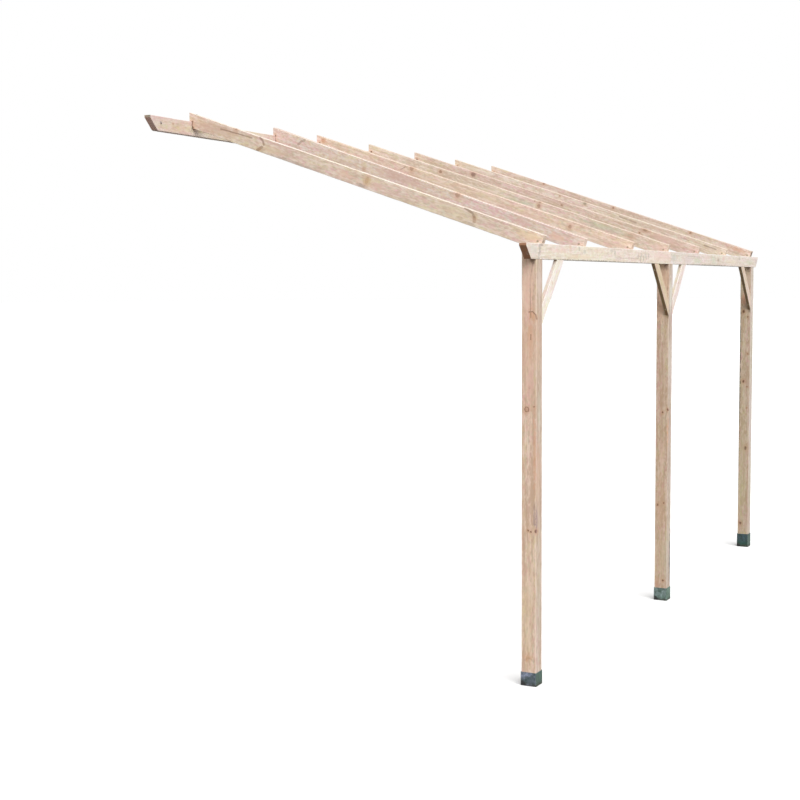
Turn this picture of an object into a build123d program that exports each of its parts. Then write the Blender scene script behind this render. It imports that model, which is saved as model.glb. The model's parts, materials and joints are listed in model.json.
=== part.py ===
"""Lean-to carport frame of planed softwood, with a wall plate on the wall.

Millimetres. X runs along the wall from the near end (-X) to the far end (+X), +Y points into the
wall and +Z up. The origin is the middle of the wall plate's back face, so the ground lies below it.
"""

from dataclasses import dataclass
from math import atan, cos, degrees, radians, sin, tan
import os

from build123d import *

# Timber sections
POST_WIDTH = 90.0
BOARD_DEPTH = 90.0
BOARD_THICKNESS = 45.0
BRACE_WIDTH = 75.0
BRACE_THICKNESS = 26.0
ARRIS_RADIUS = 2.5

# Layout along the wall
BEAM_LENGTH = 5340.0
PLATE_OVERHANG = 190.0
POST_END_INSET = 150.0
MIDDLE_POST_OFFSET = 60.0
RAFTER_COUNT = 7
RAFTER_INSET = 270.0

# Heights above the ground, and depth from the wall
BEAM_CLEAR_HEIGHT = 2460.0
DEPTH_FROM_WALL = 2465.0

# Tongue of each post, left standing behind the beam where the post is notched for it
POST_TONGUE_HEIGHT = 55.0

# Rafters
PITCH_DEG = 18.9
BEAM_NOTCH_DEPTH = 30.0
SEAT_SETBACK = 8.0
PLATE_NOTCH_DEPTH = 42.0
PLATE_SEAT_WIDTH = 20.0

# Rafters nailed off their marks: shifts along the wall at the beam and at the plate
ASKEW_RAFTER = 2
ASKEW_AT_BEAM = -119.0
ASKEW_AT_PLATE = 197.0
LAST_RAFTER_AT_BEAM = 40.0

# Undercut ends of the beam and the wall plate
END_SQUARE_DEPTH = 15.0
END_UNDERCUT = 75.0
PLATE_NOSE_RADIUS = 22.0

# Braces: legs along the beam and down the post
BRACE_REACH = 342.0
BRACE_DROP = 370.0

# Post shoes of folded steel sheet
NEAR_SHOE_HEIGHT = 80.0
MIDDLE_SHOE_HEIGHT = 92.0
FAR_SHOE_HEIGHT = 114.0
SHOE_WALL = 3.0
SHOE_CLEARANCE = 1.0
SHOE_CORNER_RADIUS = 5.0

# Fixing holes through the wall plate
WALL_HOLE_RADIUS = 5.5
WALL_HOLE_END_INSET = 110.0
WALL_HOLE_JOINT_INSET = 350.0
WALL_HOLES_PER_LENGTH = 4

# Derived spacings along the wall
PLATE_LENGTH = BEAM_LENGTH + 2 * PLATE_OVERHANG
RAFTER_SPACING = (BEAM_LENGTH - 2 * RAFTER_INSET) / (RAFTER_COUNT - 1)
WALL_HOLE_SPAN = PLATE_LENGTH / 2 - WALL_HOLE_END_INSET - WALL_HOLE_JOINT_INSET
WALL_HOLE_SPACING = WALL_HOLE_SPAN / (WALL_HOLES_PER_LENGTH - 1)

# Derived levels, from the ground up to the origin at the wall plate's mid height
PITCH = radians(PITCH_DEG)
RISE = tan(PITCH)
PLUMB_DEPTH = BOARD_DEPTH / cos(PITCH)
BEAM_TOP = BEAM_CLEAR_HEIGHT + BOARD_DEPTH
RUN_TO_PLATE = DEPTH_FROM_WALL - 2 * BOARD_THICKNESS
RAFTER_FOOT_AT_PLATE = BEAM_TOP - BEAM_NOTCH_DEPTH + RUN_TO_PLATE * RISE
PLATE_TOP = RAFTER_FOOT_AT_PLATE + PLATE_NOTCH_DEPTH
PLATE_MID = PLATE_TOP - BOARD_DEPTH / 2

# Derived planes across the carport
BEAM_FRONT_Y = -DEPTH_FROM_WALL
BEAM_BACK_Y = BEAM_FRONT_Y + BOARD_THICKNESS
PLATE_FRONT_Y = -BOARD_THICKNESS

# Derived post centres
NEAR_POST_X = -BEAM_LENGTH / 2 + POST_END_INSET + POST_WIDTH / 2
MIDDLE_POST_X = MIDDLE_POST_OFFSET
FAR_POST_X = BEAM_LENGTH / 2 - POST_END_INSET - POST_WIDTH / 2


def level(height: float) -> float:
    """Z of a height above the ground."""
    return height - PLATE_MID


def block(x: tuple, y: tuple, z: tuple) -> Part:
    """A box between two corners, given as (low, high) along each axis."""
    centre = Location(((x[0] + x[1]) / 2, (y[0] + y[1]) / 2, (z[0] + z[1]) / 2))
    return centre * Box(x[1] - x[0], y[1] - y[0], z[1] - z[0])


def extrude_along_y(outline: list, front: float, back: float) -> Part:
    """Extrude an (x, z) outline from its front plane to its back plane."""
    face = Plane.XZ.offset(-back) * make_face(Polyline(*outline, close=True))
    return extrude(face, amount=back - front)


def board_outline(start: float, stop: float, low: float, end: str) -> list:
    """Side view of a board on edge, undercut at its "near" or "far" end and square at the other.

    Args:
        start: X of the near end.
        stop: X of the far end.
        low: Z of the underside.
        end: The end that is undercut.
    """
    high = low + BOARD_DEPTH
    knee = high - END_SQUARE_DEPTH
    if end == "near":
        return [(start, high), (stop, high), (stop, low), (start + END_UNDERCUT, low), (start, knee)]
    return [(start, high), (stop, high), (stop, knee), (stop - END_UNDERCUT, low), (start, low)]


def ease(timber: Part, axis: Axis) -> Part:
    """Round the long arrises of a timber, as planing does."""
    return fillet(timber.edges().filter_by(axis), ARRIS_RADIUS)


def eaves_beam(start: float, stop: float, end: str) -> Part:
    """One length of the eaves beam, flush with the fronts of the posts."""
    outline = board_outline(start, stop, level(BEAM_CLEAR_HEIGHT), end)
    return ease(extrude_along_y(outline, BEAM_FRONT_Y, BEAM_BACK_Y), Axis.X)


def wall_plate(start: float, stop: float, end: str) -> Part:
    """One length of the wall plate, with its fixing holes and the eased nose of its undercut."""
    plate = extrude_along_y(board_outline(start, stop, -BOARD_DEPTH / 2, end), PLATE_FRONT_Y, 0.0)
    nose_x = start + END_UNDERCUT if end == "near" else stop - END_UNDERCUT
    nose = plate.edges().filter_by(Axis.Y).sort_by(
        lambda edge: abs(edge.center().X - nose_x) + abs(edge.center().Z + BOARD_DEPTH / 2)
    )[0]
    plate = ease(fillet(nose, PLATE_NOSE_RADIUS), Axis.X)
    first = start + WALL_HOLE_END_INSET if end == "near" else stop - WALL_HOLE_END_INSET
    step = WALL_HOLE_SPACING if end == "near" else -WALL_HOLE_SPACING
    for number in range(WALL_HOLES_PER_LENGTH):
        spot = Location((first + number * step, PLATE_FRONT_Y / 2, 0.0), (90, 0, 0))
        plate -= spot * Cylinder(WALL_HOLE_RADIUS, 2 * BOARD_THICKNESS)
    return plate


def rafter(x_at_beam: float, x_at_plate: float) -> Part:
    """A rafter on edge, seated on the beam in an open notch and hooked over the wall plate.

    Args:
        x_at_beam: X of its centre line over the beam's back face.
        x_at_plate: X of its centre line over the wall plate's front face.
    """
    skew = atan((x_at_plate - x_at_beam) / RUN_TO_PLATE)
    slope = atan(RISE * cos(skew))
    depth = BOARD_DEPTH / cos(slope)
    heel = level(BEAM_TOP - BEAM_NOTCH_DEPTH)

    # Side view along its own length, with 0 over the beam's back face
    seat = level(BEAM_TOP)
    toe = -(BOARD_THICKNESS - SEAT_SETBACK) / cos(skew)
    tail = toe - BOARD_DEPTH * sin(slope)
    top = RUN_TO_PLATE / cos(skew) + 2 * BOARD_THICKNESS
    blank = [
        (tail, heel + tail * tan(slope) + depth),
        (tail, heel + tail * tan(slope)),
        (top, heel + top * tan(slope)),
        (top, heel + top * tan(slope) + depth),
    ]
    face = Plane.YZ * make_face(Polyline(*blank, close=True))
    timber = extrude(face, amount=BOARD_THICKNESS / 2, both=True)
    run = Axis((0, 0, 0), (0, cos(slope), sin(slope)))
    timber = ease(timber, run)

    # Square cut of the lower end, through the toe of the seat
    corner = Location((0, toe, seat), (degrees(slope), 0, 0))
    timber -= corner * block((-BOARD_DEPTH, BOARD_DEPTH), (-3 * BOARD_DEPTH, 0), (-BOARD_DEPTH, 2 * BOARD_DEPTH))

    # Into place, then cut to the beam and the wall plate
    timber = Location((x_at_beam, BEAM_BACK_Y, 0), (0, 0, -degrees(skew))) * timber
    span = (x_at_beam - RAFTER_SPACING, x_at_beam + RAFTER_SPACING)
    timber -= block(span, (BEAM_FRONT_Y - BOARD_DEPTH, BEAM_BACK_Y), (seat - 2 * BOARD_DEPTH, seat))
    plate_top = level(PLATE_TOP)
    timber -= block(span, (PLATE_FRONT_Y, BOARD_DEPTH * 3), (plate_top - 3 * BOARD_DEPTH, plate_top))
    timber -= block(span, (PLATE_FRONT_Y + PLATE_SEAT_WIDTH, BOARD_DEPTH * 3), (plate_top, plate_top + 4 * BOARD_DEPTH))
    return timber


def post(x: float) -> Part:
    """A square post from the floor of its shoe, with a notch for the beam and a tongue behind it."""
    half = POST_WIDTH / 2
    seat = level(BEAM_CLEAR_HEIGHT)
    top = seat + POST_TONGUE_HEIGHT
    timber = block((x - half, x + half), (BEAM_FRONT_Y, BEAM_FRONT_Y + POST_WIDTH), (level(SHOE_WALL), top))
    timber = ease(timber, Axis.Z)
    notch = block((x - POST_WIDTH, x + POST_WIDTH), (BEAM_FRONT_Y - POST_WIDTH, BEAM_BACK_Y), (seat, top + POST_WIDTH))
    return timber - notch


def post_shoe(x: float, height: float) -> Part:
    """A steel cup round the foot of a post, standing on the ground."""
    inner = POST_WIDTH + 2 * SHOE_CLEARANCE
    outer = inner + 2 * SHOE_WALL
    cup = Box(outer, outer, height)
    cup = fillet(cup.edges().filter_by(Axis.Z), SHOE_CORNER_RADIUS)
    cup -= Location((0, 0, SHOE_WALL)) * Box(inner, inner, height)
    centre_y = BEAM_FRONT_Y + POST_WIDTH / 2
    return Location((x, centre_y, level(height / 2))) * cup


def brace(post_face_x: float, side: int) -> Part:
    """A thin diagonal board from the side of a post up to the underside of the beam.

    Args:
        post_face_x: X of the post's side that it leaves.
        side: +1 where it leans toward the far end, -1 toward the near end.
    """
    under = level(BEAM_CLEAR_HEIGHT)
    lean = atan(BRACE_REACH / BRACE_DROP)
    along_beam = BRACE_WIDTH / cos(lean)
    down_post = BRACE_WIDTH / sin(lean)
    outline = [
        (post_face_x, under - BRACE_DROP),
        (post_face_x + side * BRACE_REACH, under),
        (post_face_x + side * (BRACE_REACH - along_beam), under),
        (post_face_x, under - BRACE_DROP + down_post),
    ]
    return extrude_along_y(outline, BEAM_FRONT_Y, BEAM_FRONT_Y + BRACE_THICKNESS)


@dataclass(frozen=True)
class RafterLine:
    """Where one rafter's centre line crosses the beam and the wall plate."""

    number: int
    x_at_beam: float
    x_at_plate: float


def rafter_lines() -> list:
    """The rafters from the near end, with the two that are off their marks."""
    at_beam = {ASKEW_RAFTER: ASKEW_AT_BEAM, RAFTER_COUNT: LAST_RAFTER_AT_BEAM}
    at_plate = {ASKEW_RAFTER: ASKEW_AT_PLATE}
    first = -RAFTER_SPACING * (RAFTER_COUNT - 1) / 2
    lines = []
    for number in range(1, RAFTER_COUNT + 1):
        x = first + RAFTER_SPACING * (number - 1)
        lines.append(RafterLine(number, x + at_beam.get(number, 0.0), x + at_plate.get(number, 0.0)))
    return lines


def build() -> dict:
    """All pieces by node name."""
    half = POST_WIDTH / 2
    beam_end = BEAM_LENGTH / 2
    plate_end = PLATE_LENGTH / 2
    pieces = {
        "post_near": post(NEAR_POST_X),
        "post_middle": post(MIDDLE_POST_X),
        "post_far": post(FAR_POST_X),
        "post_shoe_near": post_shoe(NEAR_POST_X, NEAR_SHOE_HEIGHT),
        "post_shoe_middle": post_shoe(MIDDLE_POST_X, MIDDLE_SHOE_HEIGHT),
        "post_shoe_far": post_shoe(FAR_POST_X, FAR_SHOE_HEIGHT),
        "eaves_beam_near": eaves_beam(-beam_end, MIDDLE_POST_X, "near"),
        "eaves_beam_far": eaves_beam(MIDDLE_POST_X, beam_end, "far"),
        "wall_plate_near": wall_plate(-plate_end, 0.0, "near"),
        "wall_plate_far": wall_plate(0.0, plate_end, "far"),
        "brace_near_post": brace(NEAR_POST_X + half, 1),
        "brace_middle_post_near": brace(MIDDLE_POST_X - half, -1),
        "brace_middle_post_far": brace(MIDDLE_POST_X + half, 1),
        "brace_far_post": brace(FAR_POST_X - half, -1),
    }
    for line in rafter_lines():
        pieces[f"rafter_{line.number}"] = rafter(line.x_at_beam, line.x_at_plate)
    return pieces


os.makedirs("parts", exist_ok=True)
for name, solid in build().items():
    export_step(solid, f"parts/{name}.step")
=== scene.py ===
"""Looks of the lean-to carport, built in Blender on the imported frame.

Every timber is cut to shape from the planes that bound it in the frame, eased along its arrises and
dressed in planed softwood. The post shoes are folded steel. Lengths are metres, except those of the
knots, checks and stains, which are millimetres.
"""

from __future__ import annotations

import json
import logging
import math
import random
from dataclasses import dataclass, field, replace
from enum import Enum
from functools import reduce
from typing import Callable, Iterator

import bmesh
import bpy
from mathutils import Matrix, Vector, noise

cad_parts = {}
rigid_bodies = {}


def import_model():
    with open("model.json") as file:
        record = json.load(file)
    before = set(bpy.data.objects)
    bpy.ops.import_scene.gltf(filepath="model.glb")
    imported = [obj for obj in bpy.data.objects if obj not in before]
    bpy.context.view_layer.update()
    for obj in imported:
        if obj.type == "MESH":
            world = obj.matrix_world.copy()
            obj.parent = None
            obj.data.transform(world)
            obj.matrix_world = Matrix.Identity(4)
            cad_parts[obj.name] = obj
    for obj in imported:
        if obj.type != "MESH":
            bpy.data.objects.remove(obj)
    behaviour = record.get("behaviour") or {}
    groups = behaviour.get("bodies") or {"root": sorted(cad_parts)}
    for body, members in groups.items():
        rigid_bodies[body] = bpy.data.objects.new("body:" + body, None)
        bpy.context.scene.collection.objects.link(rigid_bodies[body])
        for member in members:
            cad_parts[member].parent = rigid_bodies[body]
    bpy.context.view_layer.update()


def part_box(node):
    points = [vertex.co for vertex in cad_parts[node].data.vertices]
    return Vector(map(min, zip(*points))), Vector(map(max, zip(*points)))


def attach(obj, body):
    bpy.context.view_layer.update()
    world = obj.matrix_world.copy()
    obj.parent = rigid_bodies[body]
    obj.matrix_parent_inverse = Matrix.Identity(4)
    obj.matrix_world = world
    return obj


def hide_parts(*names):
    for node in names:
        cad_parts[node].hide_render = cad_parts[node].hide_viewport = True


log = logging.getLogger("carport")

MM = 0.001
TOUCH = 1e-6
WHITEST = 0.97
SHARP_TURN = math.radians(50)
FLAT_WEIGHT = 80
EDGE_WEAR_AND_HIGHLIGHT = (0.006, 0.001)

Pair = tuple[float, float]
Triple = tuple[float, float, float]
Colour = Triple
Spot = tuple[Vector, Vector]
Sockets = dict[str | int, object]

X = Vector((1.0, 0.0, 0.0))
Y = Vector((0.0, 1.0, 0.0))
Z = Vector((0.0, 0.0, 1.0))


def paint(red: float, green: float, blue: float) -> Colour:
    """Linear colour of a red, green and blue given from 0 to 255 as a screen shows them."""
    shares = (level / 255.0 for level in (red, green, blue))
    return tuple(share / 12.92 if share <= 0.04045 else ((share + 0.055) / 1.055) ** 2.4 for share in shares)


def tinted(colour: Colour, factors: Colour) -> Colour:
    """A linear colour times one factor per channel, kept below pure white."""
    return tuple(min(WHITEST, part * factor) for part, factor in zip(colour, factors))


def operator(operation: str, swapped: bool = False) -> Callable[..., Signal]:
    """Make a method of Signal that adds one Math node.

    Args:
        operation: What the node does.
        swapped: Whether the signal comes after the other value.

    Returns:
        The method.
    """

    def method(self: Signal, *values: Signal | float) -> Signal:
        """Put the signal and the other values through the node."""
        order = (*values, self) if swapped else (self, *values)
        return self.shader.maths(operation, *order)

    return method


class Signal:
    """One output of a node, with arithmetic that adds Math nodes to its tree."""

    __add__ = operator("ADD")
    __radd__ = operator("ADD", swapped=True)
    __sub__ = operator("SUBTRACT")
    __rsub__ = operator("SUBTRACT", swapped=True)
    __mul__ = operator("MULTIPLY")
    __truediv__ = operator("DIVIDE")
    __pow__ = operator("POWER")
    __abs__ = operator("ABSOLUTE")

    def __init__(self, shader: Shader, socket: bpy.types.NodeSocket) -> None:
        """Wrap a socket of a shader's tree."""
        self.shader = shader
        self.socket = socket

    def other(self, output: str | int) -> Signal:
        """Another output of the same node, by name or place."""
        return Signal(self.shader, self.socket.node.outputs[output])


class Shader:
    """A node tree of one material or world, written as expressions."""

    def __init__(self, owner: bpy.types.Material | bpy.types.World) -> None:
        """Start an empty tree.

        Args:
            owner: The material or world that it belongs to.
        """
        owner.use_nodes = True
        self.owner = owner
        self.tree = owner.node_tree
        self.tree.nodes.clear()

    @classmethod
    def of_material(cls, name: str) -> Shader:
        """An empty tree in a new material of that name."""
        return cls(bpy.data.materials.new(name))

    def node(
        self, kind: str, inputs: Sockets | None = None, output: str | int = 0, **settings: object
    ) -> Signal:
        """Add one node.

        Args:
            kind: Blender's type of the node.
            inputs: Values or links of its sockets, by name or place.
            output: Name or place of the output that is wanted.
            **settings: Its properties, set before its sockets.

        Returns:
            That output.
        """
        made = self.tree.nodes.new(kind)
        for key, value in settings.items():
            setattr(made, key, value)
        for key, value in (inputs or {}).items():
            socket = made.inputs[key]
            if isinstance(value, Signal):
                self.tree.links.new(value.socket, socket)
            elif socket.type == "RGBA":
                socket.default_value = (*value, 1.0)
            else:
                socket.default_value = value
        return Signal(self, made.outputs[output])

    def maths(self, operation: str, *values: Signal | float) -> Signal:
        """A Math node on one to three values."""
        return self.node("ShaderNodeMath", dict(enumerate(values)), operation=operation)

    def vector(self, operation: str, *values: Signal | Triple, output: str = "Vector") -> Signal:
        """A Vector Math node on one to three vectors."""
        return self.node("ShaderNodeVectorMath", dict(enumerate(values)), output, operation=operation)

    def split(self, vector: Signal) -> tuple[Signal, Signal, Signal]:
        """The three parts of a vector or a colour."""
        first = self.node("ShaderNodeSeparateXYZ", {0: vector})
        return (first, first.other(1), first.other(2))

    def fade(self, value: Signal, start: float, stop: float, top: float = 1.0) -> Signal:
        """A smooth rise of a value.

        Args:
            value: What is read.
            start: Where the result is 0.
            stop: Where the result reaches its top. It may lie below start.
            top: The highest result.

        Returns:
            A signal between 0 and top.
        """
        low, high, bottom, roof = (start, stop, 0.0, top) if start < stop else (stop, start, top, 0.0)
        inputs = {"Value": value, "From Min": low, "From Max": high, "To Min": bottom, "To Max": roof}
        return self.node("ShaderNodeMapRange", inputs, interpolation_type="SMOOTHSTEP")

    def edges(self, *sides: tuple[Signal, float]) -> Signal:
        """1 where two pairs of sides meet. Each is a coordinate with half the size in that direction."""
        start, stop = EDGE_WEAR_AND_HIGHLIGHT
        first, second = (self.fade(abs(value), half - start, half - stop) for value, half in sides)
        return first * second

    def noise(self, place: Signal, detail: float, rough: float, scale: float = 1.0) -> Signal:
        """Noise at a place. Its second output is a colour of three noises."""
        inputs = {"Vector": place, "Scale": scale, "Detail": detail, "Roughness": rough}
        return self.node("ShaderNodeTexNoise", inputs, noise_dimensions="3D")

    def grain(self, place: Signal, along: float, across: float, detail: float, rough: float) -> Signal:
        """Noise with one scale along the X axis and another across it."""
        return self.noise(self.vector("MULTIPLY", place, (along, across, across)), detail, rough)

    def mix(self, share: Signal | float, under: object, over: object, how: str = "MIX") -> Signal:
        """Lay one colour over another.

        Args:
            share: How much of the upper colour shows, 0 to 1.
            under: The lower colour.
            over: The upper colour.
            how: Blend mode.

        Returns:
            The mixed colour.
        """
        inputs = {0: share, 6: under, 7: over}
        return self.node("ShaderNodeMix", inputs, 2, data_type="RGBA", blend_type=how, clamp_factor=True)

    def lay(self, colour: Signal, *layers: tuple[Signal, float, float, float, object]) -> Signal:
        """Lay colours over one another, each where a signal fades it in.

        Args:
            colour: The lowest colour.
            *layers: For each: the signal, where the fade starts and stops, its top, and the colour.

        Returns:
            The mixed colour.
        """
        for value, start, stop, top, over in layers:
            colour = self.mix(self.fade(value, start, stop, top), colour, over)
        return colour

    def finish(
        self, colour: Signal, rough: Signal, height: Signal, relief: Pair, **fixed: float
    ) -> bpy.types.Material:
        """Close the tree with a Principled surface.

        Args:
            colour: Base colour.
            rough: Roughness.
            height: Height of the relief.
            relief: Strength of the relief, and its depth where the height is 1.
            **fixed: Other sockets of the surface.

        Returns:
            The finished material.
        """
        bump = self.node("ShaderNodeBump", {"Strength": relief[0], "Distance": relief[1], "Height": height})
        inputs = {"Base Color": colour, "Roughness": rough, "Normal": bump, **fixed}
        self.send(self.node("ShaderNodeBsdfPrincipled", inputs), "ShaderNodeOutputMaterial")
        return self.owner

    def send(self, surface: Signal, kind: str) -> None:
        """Send a surface to an output node of the given type."""
        out = self.tree.nodes.new(kind)
        self.tree.links.new(surface.socket, out.inputs["Surface"])


class Face(Enum):
    """A long face of a timber, looking along it from its start with its top up."""

    LEFT = (1, 1)
    RIGHT = (1, -1)
    TOP = (2, 1)
    BOTTOM = (2, -1)

    @property
    def axis(self) -> int:
        """Place of the axis that the face looks along, in the timber's own frame."""
        return self.value[0]

    @property
    def sign(self) -> int:
        """Side of that axis."""
        return self.value[1]

    def arranged(self, along: float, outward: float, across: float) -> Triple:
        """Three numbers of the face in the order of the timber's own axes."""
        return (along, outward, across) if self.axis == 1 else (along, across, outward)

    def spot(self, along: float, across: float, half: Pair) -> Triple:
        """A point of the face, given in millimetres, in the timber's own frame."""
        return self.arranged(along * MM, self.sign * half[self.axis - 1], across * MM)


@dataclass(frozen=True)
class Mark:
    """Something that shows on one face of a timber, with its lengths in millimetres.

    Attributes:
        face: That face.
    """

    face: Face = field(default=Face.RIGHT, kw_only=True)


@dataclass(frozen=True)
class Knot(Mark):
    """A branch that the saw cut through.

    Attributes:
        along: Distance from the timber's start.
        across: Distance from the middle line of the face.
        radius: Half its width across the face.
        stretch: Its length along the timber over its width.
        faint: 0 for a dark knot, towards 1 for one that hardly shows.
    """

    along: float
    across: float
    radius: float
    stretch: float
    faint: float


@dataclass(frozen=True)
class Check(Mark):
    """A drying crack or a dark line of grain, from point to point on a face.

    Attributes:
        points: (along, across) of each of its points.
        width: Half its width.
        faint: 0 for a dark line, towards 1 for one that hardly shows.
    """

    points: tuple[Pair, ...]
    width: float
    faint: float


@dataclass(frozen=True)
class Stain(Mark):
    """A soft patch of another colour.

    Attributes:
        along: Distance from the timber's start.
        across: Distance from the middle line of the face.
        length: Half its length along the timber.
        width: Half its width across.
        colour: Colour that it tends to, from 0 to 255 as a screen shows it.
        strength: How far it goes there, 0 to 1.
        depth: How far it reaches into the timber, at least.
    """

    along: float
    across: float
    length: float
    width: float
    colour: Colour
    strength: float
    depth: float = 12


# Dark brown, used as painted shade at joints, on the rafters' foot ends and under the beam, and as dirt
# round screw heads
SHADE_AND_GRIME = (92, 74, 58)
MOULD = (160, 156, 144)
ALGAE = (176, 190, 160)
RESIN = (214, 150, 104)
ROSE = (226, 186, 172)


def on(face: Face, *marks: Mark) -> list[Mark]:
    """The marks, moved to that face."""
    return [replace(mark, face=face) for mark in marks]


def scattered(seed: int, length: float, half: Pair, each: int, *faces: Face) -> list[Mark]:
    """Knots for faces that the photograph doesn't show.

    Args:
        seed: Seed of their places.
        length: Length of the timber.
        half: Half its thickness and half its depth.
        each: Knots to a face.
        *faces: The faces to fill.

    Returns:
        The knots.
    """
    dice = random.Random(seed)
    knots: list[Mark] = []
    for face in faces:
        for number in range(each):
            along = length / MM * (number + dice.uniform(0.2, 0.8)) / each
            across = dice.uniform(-0.7, 0.7) * half[2 - face.axis] / MM
            radius = dice.uniform(4, 12)
            stretch = dice.uniform(1.0, 1.6)
            knots.append(Knot(along, across, radius, stretch, dice.uniform(0.0, 0.6), face=face))
    return knots


@dataclass(frozen=True)
class Marking:
    """The marks of one timber, drawn in its shader.

    Attributes:
        shader: The timber's shader.
        where: Coordinates in the timber's own frame.
        half: Half its thickness and half its depth.
        marks: Its knots, checks and stains.
    """

    shader: Shader
    where: Signal
    half: Pair
    marks: list[Mark]

    def _uneven(self, along: float, across: float, reach: float) -> Signal:
        """The coordinates, pushed about by a noise of the given scales and reach."""
        s = self.shader
        jitter = s.grain(self.where, along, across, 2.0, 0.5).other(1)
        return s.vector("ADD", self.where, s.vector("MULTIPLY_ADD", jitter, (reach,) * 3, (-reach / 2,) * 3))

    def _egg(self, where: Signal, centre: Triple, reach: Triple) -> Signal:
        """Distance from a centre, as a share of the size of an egg round it.

        Args:
            where: Coordinates in the timber's own frame.
            centre: Middle of the egg.
            reach: Half its sizes along the three axes.

        Returns:
            The distance, 1 on the egg.
        """
        scale = tuple(1.0 / size for size in reach)
        shift = tuple(-place / size for place, size in zip(centre, reach))
        moved = self.shader.vector("MULTIPLY_ADD", where, scale, shift)
        return self.shader.vector("LENGTH", moved, output="Value")

    def _nearest(self, where: Signal, distances: list[Signal]) -> Signal:
        """The least of some distances, or one that is far off where there are none."""
        if not distances:
            return self._egg(where, (-9.0, 0.0, 0.0), (1.0, 1.0, 1.0))
        return reduce(lambda nearest, distance: self.shader.maths("MINIMUM", nearest, distance), distances)

    def knots(self) -> Signal:
        """Distance to the nearest knot, 1 at its rim, with its outline a little uneven."""
        where = self._uneven(60.0, 60.0, 0.011)
        distances = []
        for knot in (mark for mark in self.marks if isinstance(mark, Knot)):
            radius = knot.radius * MM
            reach = knot.face.arranged(radius * knot.stretch, radius * 2.2, radius)
            distance = self._egg(where, knot.face.spot(knot.along, knot.across, self.half), reach)
            distances.append(self.shader.maths("MAXIMUM", distance, 0.30 + 0.78 * knot.faint))
        return self._nearest(where, distances)

    def checks(self) -> Signal:
        """Distance to the nearest check, 1 at its edge."""
        where = self._uneven(22.0, 90.0, 0.004)
        distances = []
        for check in (mark for mark in self.marks if isinstance(mark, Check)):
            spots = [Vector(check.face.spot(*point, self.half)) for point in check.points]
            for start, end in zip(spots, spots[1:]):
                gap = self._gap(where, start, end - start)
                distances.append(self.shader.maths("MAXIMUM", gap / (check.width * MM), 0.20 + check.faint))
        return self._nearest(where, distances)

    def _gap(self, where: Signal, start: Vector, run: Vector) -> Signal:
        """Distance from a straight line.

        Args:
            where: Coordinates in the timber's own frame.
            start: Start of the line.
            run: From its start to its end.

        Returns:
            The distance in metres.
        """
        s = self.shader
        toward = s.vector("SUBTRACT", where, tuple(start))
        share = s.vector("DOT_PRODUCT", toward, tuple(run / run.length_squared), output="Value")
        share = s.maths("MINIMUM", s.maths("MAXIMUM", share, 0.0), 1.0)
        foot = s.node("ShaderNodeVectorMath", {0: tuple(run), "Scale": share}, operation="SCALE")
        return s.vector("LENGTH", s.vector("SUBTRACT", toward, foot), output="Value")

    def stained(self, colour: Signal) -> Signal:
        """Lay the stains over a colour, one after another; some of them are painted light and painted shade.

        Args:
            colour: The colour of the clean wood.

        Returns:
            The stained colour.
        """
        stains = [mark for mark in self.marks if isinstance(mark, Stain)]
        ragged = self.shader.grain(self.where, 38.0, 80.0, 3.0, 0.7) if stains else None
        for stain in stains:
            sizes = (stain.length, max(stain.depth, stain.width), stain.width)
            reach = stain.face.arranged(*(size * MM for size in sizes))
            distance = self._egg(self.where, stain.face.spot(stain.along, stain.across, self.half), reach)
            distance = distance + (ragged - 0.5) * 2.6
            colour = self.shader.lay(colour, (distance, 1.25, 0.35, stain.strength, paint(*stain.colour)))
        return colour


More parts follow.
